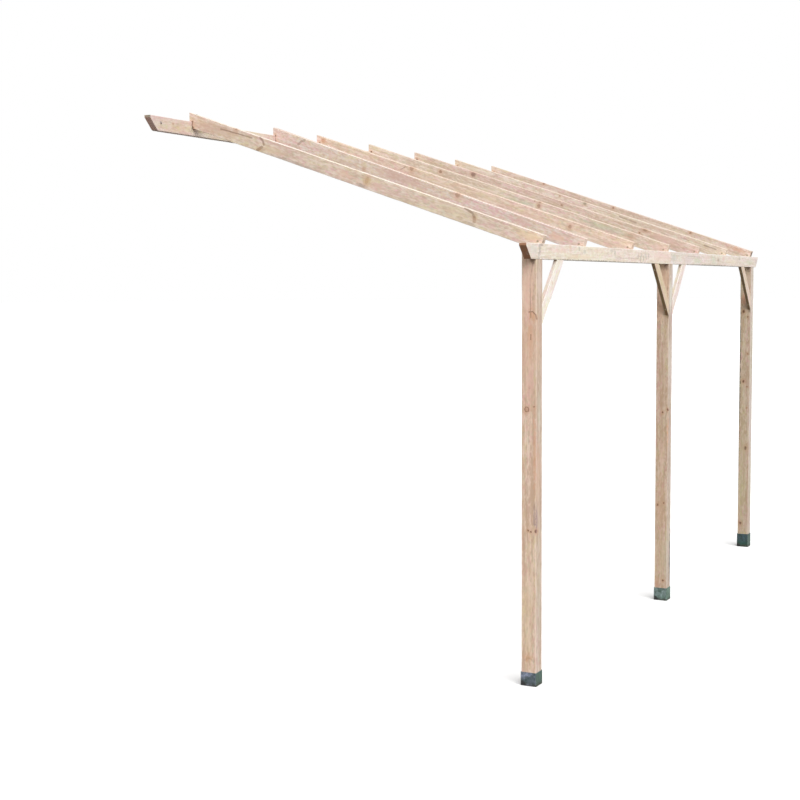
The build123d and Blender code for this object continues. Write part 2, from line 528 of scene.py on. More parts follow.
@dataclass(frozen=True)
class Softwood:
    """Planed softwood, seen from its growth rings down to its fibres.

    Attributes:
        tone: Mean colour of its long faces.
        pith: Where the heart of the tree lies across the timber, (y, z) in its own frame.
        lean: How far the heart drifts across per metre along, (y, z).
        ring_width: Distance between growth rings.
        streak: Strength of the streaks along the grain.
        blotch: Strength of the light, dark and greenish patches.
        seed: Shifts all noise, so that no two timbers are alike.
        flush: Contrast between the rosy and the straw patches.
        painted_face_light: Faces made lighter or darker than the tone, each with its factor per channel:
            painted light and painted shade where light falls on them differently.
        end_grain_and_light: Factor per channel of the sawn ends: darker end grain, with painted shade on
            some timbers and painted light on others.
    """

    tone: Colour
    pith: Pair
    lean: Pair
    ring_width: float
    streak: float
    blotch: float
    seed: float
    flush: float = 1.0
    painted_face_light: tuple[tuple[Face, Colour], ...] = ()
    end_grain_and_light: Colour = (0.74, 0.62, 0.50)

    def dress(self, name: str, half: Pair, marks: list[Mark]) -> bpy.types.Material:
        """Make the material of one timber.

        Args:
            name: Name of the timber.
            half: Half its thickness and half its depth.
            marks: Its knots, checks and stains.

        Returns:
            The material, laid out along the X axis of the timber's object.
        """
        s = Shader.of_material(f"{name}_softwood")
        where = s.node("ShaderNodeTexCoord", output="Object")
        place = s.vector("ADD", where, (self.seed * 3.7, self.seed * 1.3, self.seed * 2.1))
        normals = s.split(where.other("Normal"))
        along, y, z = s.split(where)
        marking = Marking(s, where, half, marks)
        knots = marking.knots()
        checks = marking.checks()

        # Growth rings round the heart of the tree, bent by drift and pushed aside by knots
        bend = s.split(s.grain(place, 0.9, 6.0, 2.0, 0.5).other(1))
        ring_y = y - self.pith[0] + along * self.lean[0] + (bend[0] - 0.5) * 0.034
        ring_z = z - self.pith[1] + along * self.lean[1] + (bend[1] - 0.5) * 0.034
        radius = (ring_y * ring_y + ring_z * ring_z) ** 0.5 + s.fade(knots, 2.6, 0.6) * 0.010
        fibres = s.grain(place, 7.0, 420.0, 3.0, 0.6)
        ring = s.maths("FRACT", radius / self.ring_width + (fibres - 0.5) * 0.35)
        latewood = (ring ** 3.0) * s.fade(ring, 1.0, 0.88)

        # Some years grew darker than others, which draws arches where the saw leaves the grain
        year = s.node("ShaderNodeCombineXYZ", {0: radius * 85.0, 1: along * 0.35, 2: self.seed})
        years = s.noise(year, 2.0, 0.6)

        # Streaks along the grain, and rosy, straw and greenish patches at three sizes
        streaks = s.grain(place, 4.5, 64.0, 3.0, 0.6)
        fleck = s.grain(place, 34.0, 105.0, 1.0, 0.5)
        hue = s.split(s.grain(place, 2.6, 15.0, 2.0, 0.55).other(1))
        patch = s.split(s.grain(place, 20.0, 55.0, 2.0, 0.6).other(1))
        straw, rosy = (
            tinted(self.tone, (1.04 + 0.01 * turn, 0.98 - 0.08 * turn, 0.915 + 0.045 * turn))
            for turn in (-self.flush, self.flush)
        )
        green = tinted(self.tone, (0.90, 1.02, 0.95))
        light = tinted(self.tone, (1.16, 1.19, 1.24))
        dark = tinted(self.tone, (0.80, 0.73, 0.66))
        colour = s.lay(
            s.mix(s.fade(hue[0], 0.42, 0.58) * 0.5 + s.fade(patch[0], 0.40, 0.60) * 0.5, straw, rosy),
            (patch[1], 0.50, 0.64, self.blotch, green),
            (patch[2], 0.50, 0.34, 0.9 * self.blotch, light),
            (patch[2], 0.52, 0.68, 0.8 * self.blotch, dark),
            (hue[1], 0.50, 0.66, 0.6 * self.blotch, dark),
            (fleck, 0.50, 0.32, 0.7 * self.blotch, light),
            (fleck, 0.52, 0.72, 0.6 * self.blotch, dark),
            (years, 0.50, 0.70, 0.55 * self.streak, dark),
            (years, 0.48, 0.30, 0.45 * self.streak, light),
            (streaks, 0.50, 0.68, self.streak, dark),
            (streaks, 0.48, 0.32, self.streak, light),
        )
        colour = s.mix(latewood * 0.42, colour, tinted(self.tone, (0.74, 0.58, 0.44)))
        colour = s.lay(colour, (fibres, 0.55, 0.85, 0.22, tinted(self.tone, (0.70, 0.60, 0.50))))
        # Painted light and painted shade: whole faces lighter or darker by their factor
        for face, light_factor in self.painted_face_light:
            facing = normals[face.axis] * face.sign
            colour = s.mix(s.fade(facing, 0.4, 0.9), colour, s.mix(1.0, colour, light_factor, "MULTIPLY"))

        # Arrises catch light and handling, so they are painted a little paler: a painted highlight, and wear
        wear_and_highlight = s.edges((y, half[0]), (z, half[1]))
        colour = s.mix(wear_and_highlight * 0.45, colour, tinted(self.tone, (1.18, 1.24, 1.30)))

        # Knots: a warm halo, then a heart that darkens inwards from the ring of its bark
        heart = s.mix(s.fade(knots, 0.35, 0.90), paint(92, 62, 42), paint(158, 106, 78))
        halo = tinted(self.tone, (0.86, 0.66, 0.53))
        colour = s.lay(colour, (knots, 2.7, 0.9, 0.48, halo), (knots, 1.12, 0.40, 0.92, heart))

        # Sawn ends: end grain by the end factor, which also holds painted shade on the beam's ends and
        # painted light on the plate's and rafters' ends, with the rings in full and fine cracks from the
        # heart
        sawn = s.fade(abs(normals[0]), 0.45, 0.62)
        spokes = s.grain(place, 30.0, 160.0, 3.0, 0.6)
        early = tinted(self.tone, self.end_grain_and_light)
        ringed = s.mix(latewood, early, tinted(early, (0.70, 0.60, 0.54)))
        cracked = s.lay(ringed, (spokes, 0.48, 0.75, 0.4, tinted(early, (0.70, 0.63, 0.60))))
        colour = s.mix(sawn, colour, cracked)
        colour = s.lay(marking.stained(colour), (checks, 1.25, 0.30, 0.85, paint(118, 74, 52)))

        rough = 0.60 + (1.0 - latewood) * 0.08 + sawn * 0.14 - s.fade(knots, 1.1, 0.6) * 0.12
        height = fibres * 0.35 + latewood * 0.45 + streaks * 0.3 + spokes * sawn * 1.2
        height = height - s.fade(checks, 1.1, 0.2) * 1.6 - s.fade(abs(knots - 0.92), 0.2, 0.0) * 0.5
        return s.finish(colour, rough, height, (0.45, 0.0008), IOR=1.45)


@dataclass(frozen=True)
class CoatedSteel:
    """Folded sheet steel with a dull grey-green coating, stained towards the ground.

    Attributes:
        blue: Colour of the coating where it looks blue-grey.
        green: Colour of the coating where it looks green.
        damp: Strength of the dark green that gathers in the lower half.
        seed: Shifts the noise.
    """

    blue: Colour
    green: Colour
    damp: float
    seed: float

    def dress(self, name: str, half: float, height: float) -> bpy.types.Material:
        """Make the coating of one shoe.

        Args:
            name: Name of the shoe.
            half: Half its width.
            height: Its height.

        Returns:
            The material, with the shoe's foot at the zero of its object's Z.
        """
        s = Shader.of_material(f"{name}_coated_steel")
        where = s.node("ShaderNodeTexCoord", output="Object")
        place = s.vector("ADD", where, (self.seed, self.seed * 2.0, self.seed * 3.0))
        outward = s.split(where.other("Normal"))[1]
        x, y, z = s.split(where)
        cloud = s.noise(place, 3.0, 0.65, 40.0)
        wash = s.noise(place, 2.0, 0.5, 17.0)
        speck = s.noise(place, 4.0, 0.7, 180.0)
        drips = s.noise(s.vector("MULTIPLY", place, (120.0, 120.0, 9.0)), 2.0, 0.5)

        # Partly painted reflection: the front is pushed towards green and the other faces get pale blue-grey
        # patches, over the coating's own mottling
        pale = tinted(self.blue, (1.75, 1.75, 1.80))
        deep = tinted(self.green, (0.42, 0.45, 0.42))
        side = s.fade(outward, -0.2, -0.8, 0.55)
        colour = s.mix(s.fade(wash * 0.6 + cloud * 0.4 + side - 0.10, 0.40, 0.58), self.blue, self.green)
        colour = s.mix(s.fade(cloud, 0.52, 0.66, 0.85) * s.fade(outward, -0.9, -0.3), colour, pale)
        colour = s.lay(
            colour,
            (cloud, 0.48, 0.34, 0.80, deep),
            (wash, 0.50, 0.38, 0.65, deep),
            (speck, 0.56, 0.72, 0.45, paint(52, 58, 54)),
            (drips, 0.55, 0.75, 0.35, paint(70, 84, 80)),
        )

        # Damp green in the lower half, splashed soil along the foot, and a near-black patch at the rear
        # corner of the foot
        algae = s.mix(s.fade(cloud, 0.40, 0.60), tinted(self.green, (0.62, 0.72, 0.66)), self.green)
        colour = s.lay(colour, (z + (wash - 0.5) * 0.16, height * 0.72, height * 0.28, self.damp, algae))
        soil = s.fade(z + (cloud - 0.5) * 0.03, 0.026, 0.0, 0.8)
        colour = s.mix(soil, colour, paint(54, 52, 40))
        gap = s.vector("LENGTH", s.vector("ADD", where, (half, 0.008 - half, -0.006)), output="Value")
        colour = s.lay(colour, (gap + (speck - 0.5) * 0.012, 0.031, 0.018, 0.95, paint(10, 11, 10)))

        # Coating rubbed through along the folds and the rim
        rim = s.fade(z, height - 0.004, height - 0.0005)
        rubbed = s.maths("MAXIMUM", s.edges((x, half), (y, half)), rim) * s.fade(speck, 0.44, 0.6, 0.55)
        colour = s.mix(rubbed, colour, paint(138, 150, 148))

        rough = 0.46 + speck * 0.18 + soil * 0.25
        return s.finish(colour, rough, speck * 0.6 + cloud * 0.5 - soil * 0.3, (0.35, 0.0007), IOR=1.5)


@dataclass(frozen=True)
class PlatedScrew:
    """Zinc-plated screws, dulled by weather, with dark tarnish in patches."""

    plate: Colour = paint(176, 164, 136)

    def dress(self, name: str) -> bpy.types.Material:
        """Make the finish of one set of screw heads.

        Args:
            name: Name of the set.

        Returns:
            The material.
        """
        s = Shader.of_material(f"{name}_plated_screw")
        tarnish = s.noise(s.node("ShaderNodeTexCoord", output="Object"), 3.0, 0.6, 420.0)
        colour = s.mix(s.fade(tarnish, 0.4, 0.68, 0.7), self.plate, paint(104, 88, 66))
        return s.finish(colour, 0.34 + tarnish * 0.25, tarnish, (0.25, 0.0002), Metallic=0.85)


@dataclass(frozen=True)
class Cut:
    """A plane that bounds a timber: what is left lies behind it.

    Attributes:
        normal: Direction square to the cut.
        point: Any point of it.
    """

    normal: Vector
    point: Vector

    @staticmethod
    def meet(*cuts: Cut) -> Vector:
        """The corner where three cuts meet."""
        rows = Matrix([cut.normal for cut in cuts])
        return rows.inverted() @ Vector([cut.normal.dot(cut.point) for cut in cuts])

    @staticmethod
    def through(start: Vector, end: Vector, across: Vector) -> Cut:
        """A cut through two points and square to the plane they share with a direction."""
        return Cut((end - start).cross(across).normalized(), start)


def object_of(name: str, shape: bmesh.types.BMesh, place: Matrix) -> bpy.types.Object:
    """Turn a shape into an object of the scene.

    Args:
        name: Name of the object.
        shape: Its shape, which is freed.
        place: Matrix from its own frame to the carport's.

    Returns:
        The object.
    """
    mesh = bpy.data.meshes.new(name)
    shape.to_mesh(mesh)
    shape.free()
    made = bpy.data.objects.new(name, mesh)
    bpy.context.scene.collection.objects.link(made)
    made.matrix_world = place
    return made


def skin(shape: bmesh.types.BMesh, rings: list[list[Vector]]) -> None:
    """Close a shape with a face between each two rings and over the first and the last.

    Args:
        shape: Receives the faces.
        rings: Points of each ring, as many in each.
    """
    loops = [[shape.verts.new(point) for point in ring] for ring in rings]
    shape.faces.new(loops[0])
    shape.faces.new(list(reversed(loops[-1])))
    for under, over in zip(loops, loops[1:]):
        for place in range(len(under)):
            after = (place + 1) % len(under)
            shape.faces.new((under[place], under[after], over[after], over[place]))
    bmesh.ops.recalc_face_normals(shape, faces=shape.faces[:])


def settle(piece: bpy.types.Object, material: bpy.types.Material, slot: str, node: str = "") -> None:
    """Smooth and dress a piece, and let it ride with the carport.

    Args:
        piece: The piece, in its place.
        material: Its material.
        slot: Material slot of the record; not used.
        node: CAD node that it stands for, if any.
    """
    for polygon in piece.data.polygons:
        polygon.use_smooth = True
    piece.data.set_sharp_from_angle(angle=SHARP_TURN)
    weighted = piece.modifiers.new("flat faces", "WEIGHTED_NORMAL")
    weighted.keep_sharp = True
    weighted.weight = FLAT_WEIGHT
    piece.data.materials.clear()
    piece.data.materials.append(material)
    if node:
        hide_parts(node)
    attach(piece, "root")
    log.info("%s: %d faces", piece.name, len(piece.data.polygons))


@dataclass
class Timber:
    """One stick of planed softwood, in a frame of its own.

    Attributes:
        name: Name of the piece.
        node: CAD node that it stands for.
        slot: Material slot of the record.
        origin: Middle of the section at its start.
        along: Direction of its length.
        left: Direction of its left face.
        sides: The two cuts of its broad sides.
        loop: The cuts round it, in order.
        half: Half its thickness and half its depth.
        wood: Its finish.
        marks: Its knots, checks and stains.
        arris: How much its edges are eased, where they turn by more than arris_turn.
        nose: A corner between two cuts of the loop that gets a larger round, and its radius.
        holes: Places of the holes through its sides.
        slice_length: Length of the short lengths that its faces are cut into.
        bruise_scale: Scale of the noise that bruises its arrises.
        bruise_depth: Depth of that noise where it is 1.
        merge_distance: Corners nearer than this to each other become one.
    """

    name: str
    node: str
    slot: str
    origin: Vector
    along: Vector
    left: Vector
    sides: tuple[Cut, Cut]
    loop: list[Cut]
    half: Pair
    wood: Softwood
    marks: list[Mark]
    arris: float = 0.0025
    arris_steps: int = 3
    arris_turn: float = math.radians(25)
    nose: tuple[Vector, float] | None = None
    nose_steps: int = 7
    holes: list[Vector] = field(default_factory=list)
    hole_radius: float = 0.0055
    hole_steps: int = 32
    slice_length: float = 0.055
    bruise_scale: float = 23.0
    bruise_depth: float = 0.0016
    merge_distance: float = 1e-5

    def frame(self) -> Matrix:
        """Matrix from the timber's own frame to the carport's."""
        turn = Matrix((self.along, self.left, self.along.cross(self.left))).transposed().to_4x4()
        return Matrix.Translation(self.origin) @ turn

    def build(self) -> None:
        """Cut, ease and dress the timber, and put it in place of its CAD node."""
        shape = bmesh.new()
        self._saw(shape)
        self._ease(shape)
        self._slice(shape)
        self._knock_arrises(shape)
        piece = object_of(self.name, shape, self.frame())
        if self.holes:
            self._bore(piece)
        settle(piece, self.wood.dress(self.name, self.half, self.marks), self.slot, self.node)

    def _saw(self, shape: bmesh.types.BMesh) -> None:
        """Find the corners where the cuts meet and close the faces between them."""
        home = self.frame().inverted()
        turns = list(zip(self.loop, self.loop[1:] + self.loop[:1]))
        skin(shape, [[home @ Cut.meet(side, cut, after) for cut, after in turns] for side in self.sides])

    def _ease(self, shape: bmesh.types.BMesh) -> None:
        """Round the nose, if there is one, then every arris.

        Args:
            shape: The sawn timber.
        """
        if self.nose is not None:
            spot = self.frame().inverted() @ self.nose[0]
            middles = {edge: (edge.verts[0].co + edge.verts[1].co) / 2 for edge in shape.edges}
            nearest = min(middles, key=lambda edge: (middles[edge] - spot).length)
            width = self.nose[1] * math.tan(nearest.calc_face_angle(0.0) / 2)
            self._round(shape, [nearest], width, self.nose_steps)
        convex = [edge for edge in shape.edges if edge.is_convex]
        sharp = [edge for edge in convex if edge.calc_face_angle(0.0) > self.arris_turn]
        self._round(shape, sharp, self.arris, self.arris_steps)

    @staticmethod
    def _round(shape: bmesh.types.BMesh, edges: list[bmesh.types.BMEdge], width: float, steps: int) -> None:
        """Round some edges of a shape to a width in a number of steps."""
        bmesh.ops.bevel(
            shape, geom=edges, offset=width, segments=steps, profile=0.5, affect="EDGES", clamp_overlap=True
        )

    def _slice(self, shape: bmesh.types.BMesh) -> None:
        """Cut the long faces into short lengths, so that the arrises can vary along them.

        Args:
            shape: The eased timber.
        """
        low = min(vert.co.x for vert in shape.verts) + self.slice_length
        high = max(vert.co.x for vert in shape.verts) - self.slice_length
        for step in range(int((high - low) / self.slice_length) + 1):
            everything = shape.verts[:] + shape.edges[:] + shape.faces[:]
            place = X * (low + step * self.slice_length)
            bmesh.ops.bisect_plane(shape, geom=everything, dist=TOUCH, plane_co=place, plane_no=X)

    def _knock_arrises(self, shape: bmesh.types.BMesh) -> None:
        """Push the arrises in a little here and there, where handling has bruised them.

        Args:
            shape: The timber in its short lengths.
        """
        for vert in shape.verts:
            near_y = abs(vert.co.y) - (self.half[0] - 2 * self.arris)
            near_z = abs(vert.co.z) - (self.half[1] - 2 * self.arris)
            if near_y > 0 and near_z > 0:
                bruise = noise.noise(vert.co * self.bruise_scale + Vector((self.wood.seed * 5.0, 0.0, 0.0)))
                depth = max(0.0, bruise) * self.bruise_depth
                vert.co.y -= math.copysign(depth, vert.co.y)
                vert.co.z -= math.copysign(depth, vert.co.z)

    def _bore(self, piece: bpy.types.Object) -> None:
        """Bore the holes through the sides.

        Args:
            piece: The timber, in its place.
        """
        shape = bmesh.new()
        turn = Matrix.Rotation(math.pi / 2, 4, "X")
        for hole in self.holes:
            bmesh.ops.create_cone(
                shape, cap_ends=True, segments=self.hole_steps,
                radius1=self.hole_radius, radius2=self.hole_radius, depth=6 * self.half[0],
                matrix=Matrix.Translation(self.frame().inverted() @ hole) @ turn,
            )
        drill = object_of(f"{self.name}_drill", shape, piece.matrix_world)
        bore = piece.modifiers.new("bore", "BOOLEAN")
        bore.operation = "DIFFERENCE"
        bore.solver = "EXACT"
        bore.object = drill
        bpy.context.view_layer.update()
        baked = bpy.data.meshes.new_from_object(piece.evaluated_get(bpy.context.evaluated_depsgraph_get()))
        piece.modifiers.clear()
        piece.data = baked
        bpy.data.objects.remove(drill)

        # The drill leaves doubled corners where a hole meets the edge of a short length
        drilled = bmesh.new()
        drilled.from_mesh(baked)
        bmesh.ops.remove_doubles(drilled, verts=drilled.verts[:], dist=self.merge_distance)
        drilled.to_mesh(baked)
        drilled.free()


@dataclass
class Posts:
    """The three square posts, notched for the eaves beam and with a tongue behind it.

    Attributes:
        side: Width of a post.
        looks: Name, tone, factor of the front face, blotch and flush of each post. The factor is painted
            light and shade: it darkens the near front and pales and cools the others. The tones darken from
            near to far, partly painted shade.
    """

    side: float = 0.090
    looks: tuple[tuple[str, Colour, Colour, float, float], ...] = (
        ("near", paint(223, 198, 178), (0.82, 0.85, 0.89), 1.1, 1.9),
        ("middle", paint(204, 181, 160), (0.93, 1.00, 1.13), 1.4, 2.8),
        ("far", paint(196, 177, 156), (1.05, 1.18, 1.34), 1.2, 2.9),
    )

    @staticmethod
    def marks() -> tuple[list[Mark], ...]:
        """Knots, checks, stains, painted light and painted shade of each post. The top face looks to the
        near end, the right one out.
        """
        near = [Stain(975, 34, 80, 14, (150, 122, 126), 0.6)]
        near += on(
            Face.TOP,
            Check(((142, -30), (160, -10), (160, 10), (146, 24)), 5, 0.78),
            Knot(900, -14, 6.5, 1.1, 0.2), Knot(907, 4, 6.8, 1.1, 0.2), Knot(905, -45, 11, 1.2, 0.3),
            Knot(1622, -30, 6, 1, 0.1), Knot(1604, 13, 15, 1, 0.62), Knot(1729, -4, 7, 1.4, 0.55),
            Check(((1592, 4), (1604, 0), (1616, 6), (1618, 18)), 3, 0.45),
            Check(((1590, 10), (1592, 22), (1606, 27), (1616, 20)), 3, 0.45),
            Check(((2002, -10), (2032, -11)), 3, 0.1),
            Check(((2118, -47), (2144, -41), (2161, -22), (2159, 1)), 4, 0.42),
            Check(((2128, -10), (2200, -8), (2290, -7)), 3.4, 0.62),
            Check(((2290, -7), (2360, -10), (2440, -26)), 4.4, 0.8),
            Check(((2230, -32), (2330, -30), (2420, -34)), 4, 0.84),
            # Painted light over the upper part that lies in the beam's shade, then painted shade just under
            # the beam
            Stain(2330, 10, 170, 46, (250, 214, 193), 0.55), Stain(2446, -24, 24, 16, (70, 52, 40), 0.6),
            Stain(2000, 0, 420, 50, (226, 188, 166), 0.5), Stain(450, 6, 300, 40, (222, 198, 166), 0.4),
            Stain(2010, -8, 140, 18, RESIN, 0.3), Stain(2140, -20, 40, 20, RESIN, 0.4),
            Stain(1350, -36, 260, 10, RESIN, 0.35), Stain(1750, -10, 110, 22, ROSE, 0.55),
            Stain(1000, -36, 90, 10, (150, 122, 126), 0.45), Stain(165, 0, 30, 34, RESIN, 0.35),
        )
        near += [
            Knot(2122, 36, 8, 1.6, 0.25),
            Stain(1600, 0, 140, 30, (206, 200, 182), 0.45), Stain(430, 0, 280, 40, (198, 188, 168), 0.4),
            Stain(1220, 10, 220, 36, (216, 178, 150), 0.45), Stain(1980, 10, 160, 36, (214, 178, 156), 0.4),
            Stain(2330, 0, 110, 40, (226, 206, 196), 0.45),
        ]
        middle = [
            Check(((1398, 42), (1400, 10)), 5, 0.25),
            Stain(1250, 34, 130, 12, RESIN, 0.5), Stain(300, 20, 200, 40, (190, 184, 168), 0.45),
            Stain(270, -45, 260, 30, (70, 62, 56), 0.95), Stain(1760, 0, 180, 45, (224, 212, 200), 0.5),
            Stain(2230, 0, 120, 45, (232, 234, 222), 0.6),
        ]
        middle += on(
            Face.TOP,
            Knot(145, -18, 9, 1.1, 0), Knot(718, -20, 7, 1.2, 0.2), Knot(703, 25, 9, 1.5, 0.1),
            Knot(1384, -6, 9, 1.1, 0.05), Knot(1405, -44, 8.5, 1.3, 0.05),
            Stain(120, 26, 55, 18, (198, 150, 128), 0.6), Stain(330, 0, 200, 40, (196, 176, 140), 0.45),
            Stain(720, 4, 240, 34, (204, 170, 138), 0.4), Stain(1080, 0, 120, 26, ROSE, 0.3),
            # The last two patches are painted light where the beam and the brace shade the post
            Stain(2330, -6, 170, 46, (232, 196, 168), 0.6), Stain(2130, 20, 90, 36, (238, 203, 176), 0.8),
            # Darker where the brace meets the post, then painted shade just under the beam
            Stain(2100, -38, 30, 10, SHADE_AND_GRIME, 0.55), Stain(2440, -24, 26, 22, SHADE_AND_GRIME, 0.45),
        )
        far = on(Face.TOP, Stain(1500, 47, 900, 13, (62, 70, 52), 0.85))
        far += [
            Stain(260, 10, 120, 40, (190, 164, 146), 0.45), Stain(1150, 0, 260, 45, (206, 190, 190), 0.45),
            Stain(2180, 0, 180, 45, (224, 208, 200), 0.45),
        ]
        far += on(
            Face.TOP,
            Knot(205, 20, 12, 1.5, 0.05), Knot(872, -15, 16, 1.5, 0), Knot(1228, -23, 5.5, 1.2, 0.5),
            Knot(1412, -23, 7, 1.1, 0.2), Knot(1459, 10, 13, 1.3, 0), Knot(1703, -25, 8, 1.2, 0.5),
            Knot(2025, -22, 9, 1.1, 0.05), Knot(2072, 15, 15, 1.4, 0),
            Check(((700, 46.2), (2080, 46.2)), 4, 0.22),
            # The second patch is painted light where the beam shades the post
            Stain(700, 6, 480, 40, (184, 172, 136), 0.4), Stain(2320, -6, 150, 46, (218, 192, 172), 0.5),
            # Painted light where the brace shades the post, then darker where the brace meets it
            Stain(2170, 20, 60, 36, (238, 204, 182), 0.85), Stain(2095, -36, 35, 12, SHADE_AND_GRIME, 0.5),
            # The first patch is painted shade just under the beam
            Stain(2440, -24, 26, 22, SHADE_AND_GRIME, 0.45), Stain(2180, 15, 50, 22, RESIN, 0.4),
        )
        return (near, middle, far)

    def build(self) -> None:
        """Build the posts."""
        beam_low, beam_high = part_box("eaves_beam_near")
        half = (self.side / 2, self.side / 2)
        for number, (look, marks) in enumerate(zip(self.looks, self.marks())):
            name, tone, front, blotch, flush = look
            low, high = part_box(f"post_{name}")
            hidden = scattered(40 + number, high.z - low.z, half, 5, Face.LEFT, Face.BOTTOM)
            wood = Softwood(
                tone, pith=(0.012, -0.008), lean=(0.004, -0.006), ring_width=0.0046, streak=0.75,
                # The front face's factor is painted light and shade
                blotch=blotch, seed=1.7 + number, flush=flush, painted_face_light=((Face.RIGHT, front),),
            )
            Timber(
                name=f"{name}_post_timber", node=f"post_{name}", slot="post_timber",
                origin=Vector(((low.x + high.x) / 2, (low.y + high.y) / 2, low.z)), along=Z, left=Y,
                sides=(Cut(-X, low), Cut(X, high)),
                loop=[
                    Cut(-Z, low), Cut(Y, high), Cut(Z, high),
                    Cut(-Y, beam_high), Cut(Z, beam_low), Cut(-Y, low),
                ],
                half=half, wood=wood, marks=marks + hidden,
            ).build()


@dataclass
class LongBoard:
    """A board on edge in a near and a far length, which butt and have undercut outer ends.

    Attributes:
        kind: Name of the board.
        slot: Material slot of the record.
        scatter: Seed, knots to a face and faces of each set of hidden knots.
        end_square: Height of the plumb part of an outer end.
        undercut: How far the undercut goes back along the underside.
    """

    kind: str
    slot: str
    scatter: tuple[tuple[int, int, tuple[Face, ...]], ...]
    end_square: float = 0.015
    undercut: float = 0.075

    def box(self, end: str) -> Spot:
        """Lowest and highest corner of the length at that end."""
        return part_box(f"{self.kind}_{end}")

    def lay(self, number: int, end: str, wood: Softwood, marks: list[Mark], **more: object) -> None:
        """Build one length.

        Args:
            number: Number of the length, from 0.
            end: "near" or "far", the end that is undercut.
            wood: Its finish.
            marks: Its knots, checks and stains on the faces that show.
            **more: Other values of the timber.
        """
        low, high = self.box(end)
        half = ((high.y - low.y) / 2, (high.z - low.z) / 2)
        for seed, each, faces in self.scatter:
            marks = marks + scattered(seed + number, high.x - low.x, half, each, *faces)
        Timber(
            name=f"{end}_{self.kind}_timber", node=f"{self.kind}_{end}", slot=self.slot,
            origin=Vector((low.x, (low.y + high.y) / 2, (low.z + high.z) / 2)), along=X, left=Y,
            sides=(Cut(-Y, low), Cut(Y, high)), loop=self._loop(low, high, end),
            half=half, wood=wood, marks=marks, **more,
        ).build()

    def _loop(self, low: Vector, high: Vector, end: str) -> list[Cut]:
        """Cuts round one length.

        Args:
            low: Its lowest corner.
            high: Its highest corner.
            end: "near" or "far", the end that is undercut.

        Returns:
            The cuts, in order.
        """
        if end == "near":
            knee = Vector((low.x, low.y, high.z - self.end_square))
            heel = Vector((low.x + self.undercut, low.y, low.z))
            return [Cut(Z, high), Cut(X, high), Cut(-Z, low), Cut.through(knee, heel, Y), Cut(-X, low)]
        knee = Vector((high.x, low.y, high.z - self.end_square))
        heel = Vector((high.x - self.undercut, low.y, low.z))
        return [Cut(Z, high), Cut(X, high), Cut.through(heel, knee, Y), Cut(-Z, low), Cut(-X, low)]


@dataclass
class EavesBeam(LongBoard):
    """The beam along the fronts of the posts, butted over the middle one."""

    kind: str = "eaves_beam"
    slot: str = "beam_timber"
    scatter: tuple[tuple[int, int, tuple[Face, ...]], ...] = (
        (60, 6, (Face.LEFT,)),
        (62, 3, (Face.TOP, Face.BOTTOM)),
    )
    tones: tuple[Colour, Colour] = (paint(234, 225, 214), paint(230, 222, 215))

    @staticmethod
    def marks() -> tuple[list[Mark], list[Mark]]:
        """Knots, checks, stains and painted shade of each length. The right face looks out."""
        near = [
            Stain(105, 8, 75, 34, (212, 212, 204), 0.45), Stain(198, 14, 20, 34, (164, 160, 150), 0.55),
            # The patch at 232 is the first rafter's painted shadow on the beam
            Stain(185, -20, 12, 26, (164, 160, 150), 0.5), Stain(232, 36, 30, 8, SHADE_AND_GRIME, 0.4),
            Stain(840, 26, 20, 14, MOULD, 0.42), Stain(930, 12, 30, 16, MOULD, 0.36),
            Stain(1500, 14, 18, 26, MOULD, 0.48), Stain(1440, 26, 40, 12, MOULD, 0.3),
            Stain(1560, -22, 60, 14, MOULD, 0.25), Stain(1975, 0, 16, 18, MOULD, 0.5),
            Stain(2022, -14, 12, 24, MOULD, 0.6), Stain(2052, 4, 8, 30, MOULD, 0.62),
            Stain(2092, -12, 10, 26, MOULD, 0.6), Stain(2128, 10, 12, 30, MOULD, 0.62),
            Stain(2162, -4, 8, 26, MOULD, 0.58), Stain(2205, 4, 14, 22, MOULD, 0.52),
            # Painted shade: dark lines along the bottom edge, where the underside lies in shade
            Stain(1050, -47, 950, 8.5, (112, 106, 96), 0.8), Stain(2250, -47, 600, 6, (112, 106, 96), 0.45),
            Stain(850, -22, 260, 14, (236, 212, 172), 0.35), Stain(520, 10, 160, 20, (238, 206, 192), 0.45),
            Stain(1180, 20, 120, 16, (238, 206, 192), 0.35), Stain(2520, 6, 260, 42, (236, 204, 196), 0.5),
            Check(((1600, -18), (1980, -14)), 1.6, 0.4),
        ]
        far = [
            Stain(75, 0, 60, 40, (196, 196, 184), 0.6), Knot(1290, 0, 10, 1.8, 0.6),
            Stain(1290, 0, 50, 16, MOULD, 0.35), Stain(700, -10, 120, 34, ALGAE, 0.35),
            Stain(1150, 0, 80, 36, ALGAE, 0.3), Stain(2300, -6, 110, 30, ALGAE, 0.32),
            # The second patch is painted shade along the bottom edge
            Stain(1960, 20, 34, 16, MOULD, 0.4), Stain(1100, -47, 850, 10, (104, 98, 90), 0.85),
            Stain(1460, 16, 50, 22, (226, 190, 180), 0.55), Stain(950, 20, 110, 18, (230, 204, 196), 0.45),
            Stain(1700, -6, 200, 26, (236, 222, 192), 0.4), Stain(450, -8, 130, 30, (222, 206, 206), 0.45),
            Stain(2540, 0, 40, 45, (204, 190, 190), 0.5), Check(((420, 20), (760, 16)), 1.6, 0.4),
        ]
        return (near, far)

    def build(self) -> None:
        """Build both lengths."""
        for number, (end, tone, marks) in enumerate(zip(("near", "far"), self.tones, self.marks())):
            wood = Softwood(
                tone, pith=(0.052, -0.030), lean=(0.004, 0.006), ring_width=0.0038, streak=0.42,
                # Painted shade: the beam's undercut ends are made dark brown
                blotch=0.6, seed=6.3 + number, end_grain_and_light=(0.51, 0.28, 0.18),
            )
            self.lay(number, end, wood, marks)


